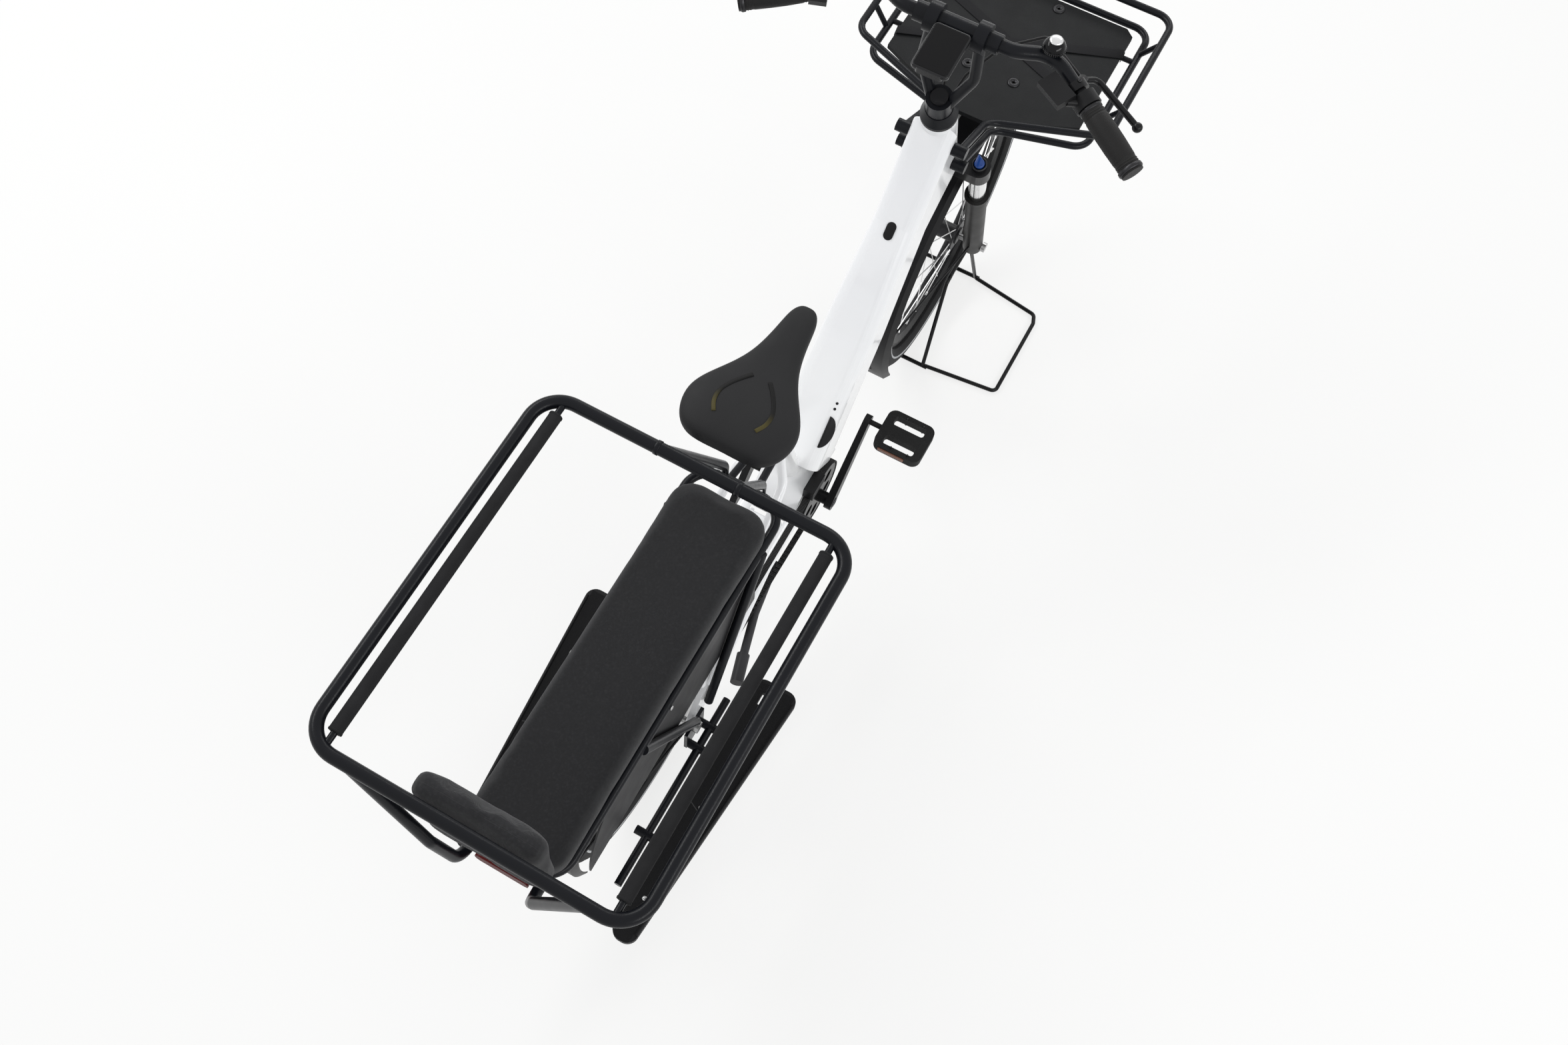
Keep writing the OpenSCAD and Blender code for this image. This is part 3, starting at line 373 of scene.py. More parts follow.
# gritty tape on the running boards, with a plain moulded rim
def paintTape():
    paint = dull("grip_tape", grey(0.015, 0.001), 0.8)
    x, y, z = paint.xyz()
    side = y.size()
    onTop = (z > tape["top"]) * (side > tape["inner"]) * (x < tape["front"])
    onTop = onTop * (side - x * tape["flare"] < tape["outer"])
    joint = ((x + side * 0.5 + tape["joint"]).size() < tape["jointHalf"]) * onTop
    grit = paint.cells(1300)
    sparkle = onTop * paint.ease(grit, 0, 0.35, (1, 0))
    colour = paint.mix(sparkle, grey(0.009, 0.0005), grey(0.0045))
    paint.set(colour=paint.mix(joint, colour, grey(0.06)),
              roughness=onTop * 0.3 + 0.55,
              normal=paint.bump(grit * onTop + paint.noise(300, 2) * 0.1, 0.0005))


tyre = {"line": (0.2745, 0.2785), "rubber": (grey(0.009, 0.0004), grey(0.017, 0.0008)),
        "silver": (0.4, 0.41, 0.42, 1)}


# grey-black rubber, with a silver reflecting line on each side wall
def paintTyres():
    paint = dull("tyre_rubber", grey(0.02, 0.001), 0.75)
    x, y, z = paint.xyz()
    ahead = x > 0.1
    radius = reach(x, z, bike["frontAxle"]) * ahead + reach(x, z, bike["rearAxle"]) * (1 - ahead)
    line = radius.between(*tyre["line"])
    rubber = paint.mix(paint.noise(50, 4), *tyre["rubber"])
    paint.set(colour=paint.mix(line, rubber, tyre["silver"]),
              roughness=0.72 - line * 0.35,
              normal=paint.bump((radius * 2600).wave() * 0.4 + paint.noise(420, 3), 0.0002))


# radii round the axle; the rotor lies past "side", to the left
hub = {
    "shells": {"hub_front": 0.036, "hub_rear": 0.0725},
    "side": 0.0385,
    "rotor": 0.0805,
    "carrier": (0.026, 0.058),
    "holes": (0.065, 0.077),
    "windows": (0.03, 0.0605),
    "silver": grey(0.72),
    "shell": grey(0.022, 0.002),
    "ring": grey(0.5),
    "spider": grey(0.03),
}


# hub, spokes and rotor are one turning piece: told apart by their distance from the axle
def paintHubs():
    for name, axle in (("hub_front", bike["frontAxle"]), ("hub_rear", bike["rearAxle"])):
        paint = Paint(name, grey(0.6), 0.3, **{"Metallic": 1})
        x, y, z = paint.xyz()
        radius = reach(x, z, axle)
        angle = (z - axle[1]).turn(x - axle[0])
        shell = radius < hub["shells"][name]
        rotor = (y > hub["side"]) * (radius < hub["rotor"])
        holes = ((angle * 30 + radius * 420).wave() > 0.45) * radius.between(*hub["holes"])
        windows = ((angle * 6 + radius * 40).wave() < 0.35) * radius.between(*hub["windows"])
        colour = paint.mix(shell, hub["silver"], hub["shell"])
        colour = paint.mix(rotor * (radius > hub["carrier"][1]), colour, hub["ring"])
        colour = paint.mix(rotor * radius.between(*hub["carrier"]), colour, hub["spider"])
        brushed = (radius * 9000).wave() * 0.3 + paint.noise(700, 2) * 0.4
        paint.set(colour=colour, metallic=1 - shell * 0.8,
                  alpha=1 - rotor * holes.most(windows),
                  roughness=shell * 0.15 + 0.24 + paint.noise(60, 3) * 0.1,
                  normal=paint.bump(brushed, 0.00005))


stanchion = {"from": 0.2, "to": 0.3855, "colour": grey(0.8), "crown": grey(0.009, 0.001)}


# black crown and steerer, bright stanchions
def paintFork():
    paint = dull("fork_black", grey(0.02), 0.3, **{"Coat Weight": 0.1})
    x, y, z = paint.xyz()
    lean = math.radians(bike["steerTilt"])
    footX, footZ = bike["steerFoot"]
    up = (z - footZ) * math.cos(lean) - (x - footX) * math.sin(lean)
    bright = up.between(stanchion["from"], stanchion["to"])
    paint.set(colour=paint.mix(bright, stanchion["crown"], stanchion["colour"]),
              metallic=bright * 1,
              roughness=0.34 - bright * 0.24 + paint.noise(50, 3) * 0.08,
              normal=paint.bump(paint.noise(600, 3), 0.00004))


# fine ribs across the belt's back, with painted shade in the grooves and a painted highlight on
# the crests
def paintBelt():
    paint = dull("belt_rubber", grey(0.012), 0.7)
    x, y, z = paint.xyz()
    ribs = ((x - z * 0.2) * (2 * math.pi / drive["rib"])).wave()
    # painted shade and highlight: the colour is darker in the rib grooves and lighter on the rib
    # crests
    paint.set(colour=paint.mix(paint.ease(ribs, -0.4, 0.6), grey(0.006), grey(0.045, 0.001)),
              roughness=paint.noise(60, 3) * 0.1 + 0.62,
              normal=paint.bump(ribs, 0.0005))


def makePaints():
    for paint in (paintMouldings, paintFrame, paintTubes, paintCloth, paintFoam, paintTape,
                  paintTyres, paintHubs, paintFork, paintBelt):
        paint()
    print("paints made:", len(finishes))


# nodes whose finish isn't named like their slot
nodePaint = {"front_hub": "hub_front", "rear_hub": "hub_rear", "bell": "bell_black",
             "display": "lamp_body"}


def dressNodes():
    for part in frame["record"]["subparts"]:
        name = part["node"]
        mesh = nodes[name].data
        mesh.materials.clear()
        mesh.materials.append(finishes[nodePaint.get(name, part["material_slot"])])
        for face in mesh.polygons:
            face.material_index = 0
    print("nodes dressed")


def meshed(name, bm, paint):
    mesh = bpy.data.meshes.new(name)
    bm.to_mesh(mesh)
    bm.free()
    mesh.materials.append(finishes[paint])
    return linked(name, mesh)


def piece(name, bm, paint, body, smooth=True):
    bmesh.ops.recalc_face_normals(bm, faces=bm.faces)
    made = meshed(name, bm, paint)
    for face in made.data.polygons:
        face.use_smooth = smooth
    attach(made, body)
    return made


def smoothed(made, levels):
    sub = made.modifiers.new("smooth", "SUBSURF")
    sub.levels = sub.render_levels = levels


# a closed skin over rings of points
def capped(bm, rings):
    made = [[bm.verts.new(p) for p in ring] for ring in rings]
    for a, b in zip(made, made[1:]):
        for i in range(len(a)):
            k = (i + 1) % len(a)
            bm.faces.new((a[i], a[k], b[k], b[i]))
    bm.faces.new(made[0])
    bm.faces.new(made[-1][::-1])


# two directions across a path
def across(ahead):
    ahead = ahead.normalized()
    side = ahead.cross(Vector((0, 0, 1)))
    if side.length < 0.05:
        side = ahead.cross(Vector((0, 1, 0)))
    side.normalize()
    return side, side.cross(ahead).normalized()


# flat band along a path, with eased edges; ups are the way its face looks at each point
def band(bm, points, ups, width, thick):
    edge = ((-1, -0.6), (-0.92, -1), (0.92, -1), (1, -0.6),
            (1, 0.6), (0.92, 1), (-0.92, 1), (-1, 0.6))
    points = [Vector(p) for p in points]
    rings = []
    for i, p in enumerate(points):
        ahead = (points[min(i + 1, len(points) - 1)] - points[max(i - 1, 0)]).normalized()
        up = Vector(ups[i]).normalized()
        side = ahead.cross(up).normalized()
        rings.append([p + side * width / 2 * a + up * thick / 2 * b for a, b in edge])
    capped(bm, rings)


# a turned shape: profile is (distance along the axis, radius) pairs
def turned(bm, profile, place, axis, sides=24):
    axis = Vector(axis).normalized()
    u, v = across(axis)
    turns = [2 * math.pi * k / sides for k in range(sides)]
    capped(bm, [[Vector(place) + axis * along + r * (math.cos(t) * u + math.sin(t) * v)
                 for t in turns] for along, r in profile])


def socketBolt(bm, place, axis, r=0.005, high=0.004):
    turned(bm, [(0, r), (high * 0.8, r), (high, r * 0.85), (high, r * 0.5),
                (high * 0.35, r * 0.48)], place, axis, 14)


def roundedOutline(long, wide, corner, steps=6):
    x, y = long / 2 - corner, wide / 2 - corner
    return [(sx * x + corner * math.cos(a), sy * y + corner * math.sin(a))
            for sx, sy, start in ((1, 1, 0), (-1, 1, 90), (-1, -1, 180), (1, -1, 270))
            for a in (math.radians(start + 90 * k / steps) for k in range(steps + 1))]


# a block with rounded corners in plan and eased edges all round; place is its middle
def softSlab(bm, size, corner, edge, place, steps=5):
    long, wide, high = size
    rings = []
    for side in (-1, 1):
        for k in range(steps + 1):
            a = math.radians(90 * (k if side > 0 else steps - k) / steps)
            inset = edge * (1 - math.cos(a))
            z = side * (high / 2 - edge + edge * math.sin(a))
            outline = roundedOutline(long - 2 * inset, wide - 2 * inset, corner - inset)
            rings.append([place @ Vector((x, y, z)) for x, y in outline])
    capped(bm, rings)


trees = {}


# where a line from start meets a node's surface, and the way that surface faces
def touch(node, start, toward):
    if node not in trees:
        mesh = nodes[node].data
        trees[node] = BVHTree.FromPolygons([v.co for v in mesh.vertices],
                                           [f.vertices[:] for f in mesh.polygons])
    return trees[node].ray_cast(Vector(start), Vector(toward).normalized())[:2]


# a place whose x runs ahead along a surface and whose z is the way the surface faces
def layOn(place, ahead, up):
    up = Vector(up).normalized()
    ahead = Vector(ahead)
    ahead = (ahead - up * ahead.dot(up)).normalized()
    turn = Matrix((ahead, up.cross(ahead), up)).transposed()
    return Matrix.Translation(Vector(place)) @ turn.to_4x4()


# a thin cover with eased edges, from an outline in the surface's own x and y
def raised(bm, outline, high, place, ease=0.12):
    rings = []
    for z, share in ((-0.0015, 1), (high * 0.55, 1), (high * 0.9, 1 - ease * 0.4),
                     (high, 1 - ease)):
        rings.append([place @ Vector((x * share, y * share, z)) for x, y in outline])
    capped(bm, rings)


# bolts where lines meet nodes: node, the line's start and way, the bolt's radius and height,
# and how far it is sunk if that isn't 0.4 mm
def boltPiece(name, body, rows, paint="blackBolt"):
    bm = bmesh.new()
    for node, start, toward, r, high, *sunk in rows:
        place, facing = touch(node, start, toward)
        if place:
            socketBolt(bm, place - facing * (sunk or [0.0004])[0], facing, r, high)
    piece(name, bm, paint, body)


# a smooth line through the points
def smoothCurve(points, steps):
    points = [Vector(p) for p in points]
    ends = [points[0] * 2 - points[1]] + points + [points[-1] * 2 - points[-2]]
    line = []
    for i in range(1, len(ends) - 2):
        a, b, c, d = ends[i - 1:i + 3]
        for k in range(steps):
            t = k / steps
            line.append(0.5 * (2 * b + (c - a) * t + (2 * a - 5 * b + 4 * c - d) * t * t
                               + (3 * b - a - 3 * c + d) * t ** 3))
    line.append(points[-1])
    return line


# the way out from an axle at an angle in side view
def outward(turn):
    t = math.radians(turn)
    return Vector((math.cos(t), 0, math.sin(t)))


def axleAt(name, y=0):
    return Vector((bike[name][0], y, bike[name][1]))


tread = {
    "blocks": 96,
    "height": 0.0016,
    # angle across the tread from and to, share of the pitch filled, offset in pitches
    "rows": [(-38, -24, 0.72, 0), (-20, -7, 0.8, 0.5), (-5, 5, 0.92, 0),
             (7, 20, 0.8, 0.5), (24, 38, 0.72, 0)],
    "skew": 0.18,
    # sunk foot, shoulder and top: share of the height, share of the block's width
    "steps": ((-0.75, 1), (0.7, 0.96), (1, 0.84)),
}
wheels = {
    "front": {"axle": "frontAxle", "tyreWidth": 0.052, "stemTurn": 122,
              "flange": (0.028, 0.028), "rotorY": 0.0408},
    "rear": {"axle": "rearAxle", "tyreWidth": 0.056, "stemTurn": 58,
             "flange": (0.066, 0.032), "rotorY": 0.0508},
}
spokes = {"count": 28, "rim": 0.2392, "lead": 38, "stemFoot": 0.2405}
rotorBolts = {"count": 6, "circle": 0.0215, "first": 15}


def makeTread(name, wheel):
    bm = bmesh.new()
    small = wheel["tyreWidth"] / 2
    big = bike["tyreRadius"] - small
    centre = axleAt(wheel["axle"])
    pitch = 2 * math.pi / tread["blocks"]

    def spot(turn, lean, lift):
        r = big + (small + lift) * math.cos(math.radians(lean))
        y = (small + lift) * math.sin(math.radians(lean))
        return centre + Vector((r * math.cos(turn), y, r * math.sin(turn)))

    for k in range(tread["blocks"]):
        for first, last, fill, offset in tread["rows"]:
            turn = (k + offset) * pitch
            half = pitch * fill / 2
            side = (first + last > 0) - (first + last < 0)
            skew = tread["skew"] * pitch * side
            middle, wide = (first + last) / 2, (last - first) / 2
            capped(bm, [[spot(turn + s * half * share + skew * t, middle + t * wide * share,
                              tread["height"] * lift)
                         for s, t in ((-1, -1), (1, -1), (1, 1), (-1, 1))]
                        for lift, share in tread["steps"]])
    piece(name + "Tread", bm, "tyre_rubber", name + "_wheel", smooth=False)


def makeWheelTrim(name, wheel):
    body = name + "_wheel"
    centre = axleAt(wheel["axle"])
    flangeR, flangeY = wheel["flange"]

    # spoke nipples, each pointing along its crossing spoke
    bm = bmesh.new()
    count = spokes["count"]
    for side in (-1, 1):
        for i in range(count // 2):
            turn = -(i * 720 / count + (0 if side > 0 else 360 / count))
            lead = -spokes["lead"] if i % 2 == 0 else spokes["lead"]
            foot = outward(turn) * spokes["rim"]
            root = outward(turn + lead) * flangeR + Vector((0, side * flangeY, 0))
            turned(bm, [(-0.003, 0.0026), (0.0015, 0.0026), (0.003, 0.002),
                        (0.012, 0.0019), (0.0128, 0.0014)], centre + foot, root - foot, 8)
    piece(name + "Nipples", bm, "bell_silver", body)

    bm = bmesh.new()
    out = outward(wheel["stemTurn"])
    turned(bm, [(-0.004, 0.0045), (0.001, 0.0045), (0.0015, 0.0028), (0.022, 0.0028),
                (0.023, 0.0036), (0.034, 0.0034), (0.036, 0.0022)],
           centre + out * spokes["stemFoot"], -out, 12)
    piece(name + "Valve", bm, "cable_black", body)

    bm = bmesh.new()
    for k in range(rotorBolts["count"]):
        out = outward(360 * k / rotorBolts["count"] + rotorBolts["first"])
        place = centre + out * rotorBolts["circle"] + Vector((0, wheel["rotorY"] - 0.0002, 0))
        socketBolt(bm, place, (0, 1, 0), 0.003, 0.0018)
    piece(name + "RotorBolts", bm, "blackBolt", body)


# flat is the thin axis and the side that lies on the frame; hold limits how far
# the simulation moves the edges, and cap how far it moves anything
pad = {
    "low": (-0.9195, -0.082, 0.674),
    "high": (-0.2675, 0.082, 0.722),
    "inset": (0.001, -0.0012, 0.003),
    "flat": (2, -1),
    "corner": 0.04,
    "edge": 0.012,
    "voxel": 0.006,
    "pressure": 3.5,
    "cap": 0.006,
    "hold": 0.08,
    "seam": 0.6985,
    "fill": 0.85,
}
rest = {
    "low": (-0.9562, -0.102, 0.806),
    "high": (-0.9142, 0.102, 0.99),
    "inset": (0.003, 0.004, 0.004),
    "flat": (0, -1),
    "corner": 0.022,
    "edge": 0.012,
    "voxel": 0.005,
    "pressure": 3,
    "cap": 0.005,
    "hold": 0.5,
    "seam": -0.9352,
    "fill": 0.8,
}
sewing = {"frames": 20, "near": 0.001, "gap": 0.0005, "bulge": 0.004}


# swell the cover by air pressure: gives how far each point moved
def inflate(made, pressure):
    modifier = made.modifiers.new("cloth", "CLOTH")
    modifier.settings.use_pressure = True
    modifier.settings.uniform_pressure_force = pressure
    modifier.settings.effector_weights.gravity = 0
    modifier.settings.quality = 4
    modifier.point_cache.frame_start, modifier.point_cache.frame_end = 1, sewing["frames"]
    for f in range(1, sewing["frames"] + 1):
        scene.frame_set(f)
    shaped = made.evaluated_get(bpy.context.evaluated_depsgraph_get())
    moves = [b.co - a.co for a, b in zip(made.data.vertices, shaped.data.vertices)]
    made.modifiers.clear()
    scene.frame_set(1)
    return moves


def makeCushion(name, node, cushion):
    bm = bmesh.new()
    axis, side = cushion["flat"]
    inset = Vector(cushion["inset"])
    outer = Vector(cushion["low"]), Vector(cushion["high"])
    low, high = outer[0] + inset, outer[1] - inset
    size, middle = high - low, (low + high) / 2
    if axis == 2:
        softSlab(bm, size, cushion["corner"], cushion["edge"],
                 layOn(middle, (1, 0, 0), (0, 0, 1)))
    else:
        softSlab(bm, (size.y, size.z, size.x), cushion["corner"], cushion["edge"],
                 layOn(middle, (0, 1, 0), (1, 0, 0)))
    made = piece(name, bm, "pad_fabric", "frame")
    remesh = made.modifiers.new("remesh", "REMESH")
    remesh.mode = "VOXEL"
    remesh.voxel_size = cushion["voxel"]
    bpy.context.view_layer.objects.active = made
    made.select_set(True)
    bpy.ops.object.modifier_apply(modifier="remesh")
    made.select_set(False)

    for v, move in zip(made.data.vertices, inflate(made, cushion["pressure"])):
        move = Vector(move[i] * (1 if i == axis else cushion["hold"]) for i in range(3))
        if move.length > cushion["cap"]:
            move *= cushion["cap"] / move.length
        v.co += move
    flat = outer[0][axis] if side < 0 else outer[1][axis]
    for v in made.data.vertices:
        if (v.co[axis] - flat) * side > -sewing["near"]:
            v.co[axis] = flat - side * sewing["gap"]
        for i in range(3):
            v.co[i] = min(max(v.co[i], outer[0][i] - sewing["bulge"]),
                          outer[1][i] + sewing["bulge"])
    for face in made.data.polygons:
        face.use_smooth = True
    smoothed(made, 1)
    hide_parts(node)
    print(name, "made")


saddle = {
    "tail": -0.3115,
    "length": 0.272,
    "width": 0.184,
    "top": 0.965,
    # share of length, share of width, thickness, drop of the top
    "sections": [
        (0, 0.52, 0.024, 0.015), (0.02, 0.7, 0.034, 0.009), (0.06, 0.85, 0.041, 0.004),
        (0.14, 0.97, 0.046, 0.001), (0.24, 1, 0.046, 0), (0.33, 0.91, 0.045, 0.0015),
        (0.42, 0.74, 0.043, 0.003), (0.52, 0.55, 0.042, 0.005), (0.64, 0.39, 0.04, 0.006),
        (0.8, 0.3, 0.036, 0.006), (0.93, 0.26, 0.032, 0.008), (0.985, 0.18, 0.025, 0.012),
        (1, 0.1, 0.018, 0.015)],
    "ring": 32,
    "hollow": 0.005,
    # how square a section is across and upright
    "square": (0.75, 0.72),
    # one inlay's middle line from above
    "inlay": [(-0.272, 0.034), (-0.256, 0.042), (-0.238, 0.043), (-0.22, 0.036),
              (-0.202, 0.024), (-0.19, 0.014)],
    "inlaySize": (0.0062, 0.0016),
}


# height of the saddle's top at a place
def saddleTop(x, y):
    s = min(max((x - saddle["tail"]) / saddle["length"], 0), 1)
    rows = saddle["sections"]
    for a, b in zip(rows, rows[1:]):
        if a[0] <= s <= b[0]:
            t = (s - a[0]) / (b[0] - a[0])
            wide, thick, drop = (a[k] + (b[k] - a[k]) * t for k in (1, 2, 3))
            side = min(abs(y) / (wide * saddle["width"] / 2), 1)
            return saddle["top"] - drop - thick / 2 + thick / 2 * (1 - side ** 2.6) ** 0.5


def makeSaddle():
    bm = bmesh.new()
    rings = []
    flatY, flatZ = saddle["square"]
    for s, wide, thick, drop in saddle["sections"]:
        ring = []
        for k in range(saddle["ring"]):
            t = 2 * math.pi * k / saddle["ring"]
            c, n = math.cos(t), math.sin(t)
            y = wide * saddle["width"] / 2 * math.copysign(abs(c) ** flatY, c)
            z = saddle["top"] - drop - thick / 2
            z += thick / 2 * math.copysign(abs(n) ** flatZ, n)
            if n < 0:
                z += saddle["hollow"] * (1 - abs(c))
            ring.append((saddle["tail"] + s * saddle["length"], y, z))
        rings.append(ring)
    capped(bm, rings)
    made = piece("saddleCover", bm, "saddle_cover", "frame")
    smoothed(made, 2)
    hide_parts("saddle")
    for side, name in ((-1, "Right"), (1, "Left")):
        bm = bmesh.new()
        line = [Vector((p.x, p.y, saddleTop(p.x, p.y) + 0.0002))
                for p in smoothCurve([(x, side * y, 0) for x, y in saddle["inlay"]], 6)]
        band(bm, line, [(0, side * 0.25, 1)] * len(line), *saddle["inlaySize"])
        piece("saddleGroove" + name, bm, "olive_groove", "frame")
    print("saddle made")


deck = {
    "top": 0.7423,
    "crossing": 0.7765,
    "reach": 0.0765,
    "half": 0.1885,
    "strap": (0.02, 0.0013),
    # a strap's ends hang at this y, down to these heights
    "hemY": 0.1896,
    "hems": (0.7335, 0.7395),
    "bolts": ((0.6945, 0.045), (0.8945, 0.045), (0.6945, -0.045), (0.8945, -0.045)),
    "washer": ((-0.001, 0.011), (0.0012, 0.011), (0.0026, 0.009), (0.0026, 0.0036),
               (-0.001, 0.0034)),
    "lens": ((-0.002, 0.0175), (0.0008, 0.0175), (0.0018, 0.015), (0.0022, 0.008),
             (0.0023, 0.001)),
    "lampFrom": (1.2, 0, 0.722),
}


def makeDeckTrim():
    hems = deck["hems"]
    ups = [(0, -1, 0), (0, -0.8, 0.6), (0, -0.3, 1), (0, 0, 1), (0, 0, 1), (0, 0, 1),
           (0, 0.3, 1), (0, 0.8, 0.6), (0, 1, 0)]
    for name, lean, lift in (("A", 1, 0.0008), ("B", -1, 0.0023)):
        bm = bmesh.new()
        z = deck["top"] + lift
        line = [(deck["crossing"] + s * lean * deck["reach"], s * deck["half"], z)
                for s in (-1, -0.5, 0, 0.5, 1)]
        first, last = line[0][0], line[-1][0]
        line = [(first, -deck["hemY"], h) for h in hems] + line
        line += [(last, deck["hemY"], h) for h in hems[::-1]]
        band(bm, line, ups, *deck["strap"])
        piece("deckStrap" + name, bm, "webbing", "frame")
    bm = bmesh.new()
    for x, y in deck["bolts"]:
        turned(bm, deck["washer"], (x, y, deck["top"]), (0, 0, 1), 20)
    piece("deckWashers", bm, "blackBolt", "frame")
    bm = bmesh.new()
    place, facing = touch("headlamp", deck["lampFrom"], (-1, 0, 0))
    turned(bm, deck["lens"], place, facing, 28)
    piece("headlampLens", bm, "lamp_lens", "frame")
    print("deck dressed")


grip = {
    "start": (0.385, 0.229, 1.0977),
    "way": (-0.5035, 0.8438, -0.1865),
    "long": 0.115,
    "ribs": (0.011, 0.015, 0.101, 0.105),
    # profiles as (distance, radius); a rib's is from its middle, the cap's from the grip's end
    "ring": ((-0.001, 0.0165), (0, 0.0179), (0.006, 0.0179), (0.007, 0.0165)),
    "rib": ((-0.0014, 0.0166), (-0.0006, 0.0176), (0.0006, 0.0176), (0.0014, 0.0166)),
    "sleeve": ((0.016, 0.0168), (0.02, 0.0179), (0.045, 0.0186), (0.07, 0.0184),
               (0.094, 0.0176), (0.098, 0.0168)),
    "cap": ((-0.007, 0.0168), (-0.006, 0.0188), (-0.001, 0.0192), (0.001, 0.018),
            (0.001, 0.0135), (-0.0005, 0.013), (-0.0005, 0.0115), (0.0012, 0.011),
            (0.002, 0.006)),
}


def makeGrips():
    sleeves, rings = bmesh.new(), bmesh.new()
    for side in (-1, 1):
        mirror = Vector((1, side, 1))
        start, ahead = Vector(grip["start"]) * mirror, Vector(grip["way"]) * mirror
        turned(rings, grip["ring"], start, ahead, 28)
        for at in grip["ribs"]:
            turned(sleeves, [(at + along, r) for along, r in grip["rib"]], start, ahead, 28)
        turned(sleeves, grip["sleeve"], start, ahead, 32)
        turned(rings, [(grip["long"] + along, r) for along, r in grip["cap"]],
               start, ahead, 32)
    piece("gripRibs", sleeves, "grip_rubber", "steering")
    piece("gripRings", rings, "blackBolt", "steering")


bell = {
    "place": (0.4295, -0.1429),
    "button": ((-0.0025, 0.0105), (-0.0008, 0.01), (0.0008, 0.008), (0.0014, 0.004),
               (0.0015, 0.0005)),
    "buttonZ": 1.1516,
    "knurls": 36,
    "knurlCircle": 0.0176,
    "knurlZ": 1.1338,
    "knurl": ((0, 0.0009), (0.0042, 0.0009)),
}


# a silver button on the dome, and a knurled foot
def makeBellTrim():
    x, y = bell["place"]
    bm = bmesh.new()
    turned(bm, bell["button"], (x, y, bell["buttonZ"]), (0, 0, 1), 28)
    piece("bellButton", bm, "bell_silver", "steering")
    bm = bmesh.new()
    for k in range(bell["knurls"]):
        t = 2 * math.pi * k / bell["knurls"]
        place = (x + bell["knurlCircle"] * math.cos(t), y + bell["knurlCircle"] * math.sin(t),
                 bell["knurlZ"])
        turned(bm, bell["knurl"], place, (0, 0, 1), 6)
    piece("bellKnurl", bm, "blackBolt", "steering")


display = {
    "above": (0.3445, 0, 1.3),
    "frame": (0.086, 0.062, 0.009),
    "corner": 0.008,
    "edge": 0.003,
    "sunk": 0.0035,
    "glass": (0.079, 0.055, 0.005),
    "glassHigh": 0.0006,
    "glassLift": 0.0012,
}


# dark glass in a raised rim
def makeDisplay():
    place, facing = touch("display", display["above"], (0, 0, -1))
    spot = layOn(place, (1, 0, 0), facing)
    bm = bmesh.new()
    softSlab(bm, display["frame"], display["corner"], display["edge"],
             spot @ Matrix.Translation((0, 0, -display["sunk"])))
    piece("displayFrame", bm, "lamp_body", "steering")
    bm = bmesh.new()
    raised(bm, roundedOutline(*display["glass"]), display["glassHigh"],
           spot @ Matrix.Translation((0, 0, display["glassLift"])), 0.03)
    piece("displayGlass", bm, "display_glass", "steering")


# clamp bolts of stem and levers: node, start of the line on the left, its way
clampBolts = (("stem", (0.6, 0.04, 1.13), (-1, 0, 0)),
              ("stem", (0.6, 0.04, 1.11), (-1, 0, 0)),
              ("brake_levers", (0.403, 0.1986, 1.3), (0, 0, -1)))


def makeCockpit():
    makeGrips()
    makeBellTrim()
    makeDisplay()
    boltPiece("cockpitBolts", "steering", [
        (node, (x, y * side, z), toward, 0.0032, 0.002)
        for side in (-1, 1) for node, (x, y, z), toward in clampBolts])
    print("cockpit dressed")


fork = {
    "cap": (0.5205, -0.065, 0.7158),
    "axis": (-0.34202, 0, 0.93969),
    "knobWay": (0.88, 0.48, 0),
    "knobHigh": 0.0075,
    "knobRadius": 0.0092,
    "knobTip": (0.017, 0.0008),
    "ring": ((-0.002, 0.0135), (0.002, 0.0135), (0.0032, 0.0125), (0.0032, 0.0105),
             (0.001, 0.0102)),
}
# bolts on the fenders' crowns: the angle round the axle and the place across
fender = {
    "front": ((199, 0.004), (172, 0)),
    "rear": (150, 172),
    "from": 0.6,
    "washer": ((-0.001, 0.0085), (0.001, 0.0085), (0.0016, 0.0075), (0.0016, 0.0045),
               (0.0028, 0.004), (0.0028, 0.0015)),
}


# a blue teardrop knob in a ring on the right leg's cap
def makeForkKnob():
    bm = bmesh.new()
    turned(bm, fork["ring"], fork["cap"], fork["axis"], 28)
    piece("knobRing", bm, "blackBolt", "steering")
    bm = bmesh.new()
    tip, half = fork["knobTip"]
    drop = [(tip, -half), (tip, half)]
    drop += [(fork["knobRadius"] * math.cos(a), fork["knobRadius"] * math.sin(a))
             for a in (math.radians(52 + 16 * k) for k in range(17))]
    raised(bm, drop, fork["knobHigh"], layOn(fork["cap"], fork["knobWay"], fork["axis"]), 0.22)
    piece("knob", bm, "blue_knob", "steering")


def makeFenderBolts():
    bm = bmesh.new()
    for turn, y in fender["front"]:
        out = outward(turn)
        place, facing = touch("front_fender", axleAt("frontAxle", y) + out * fender["from"], -out)
        turned(bm, fender["washer"], place, facing, 20)
    piece("fenderBolts", bm, "blackBolt", "steering")
    boltPiece("rearFenderBolts", "frame", [
        ("rear_fender", axleAt("rearAxle") + out * fender["from"], -out, 0.005, 0.0025)
        for out in map(outward, fender["rear"])])
    print("fork and fenders dressed")


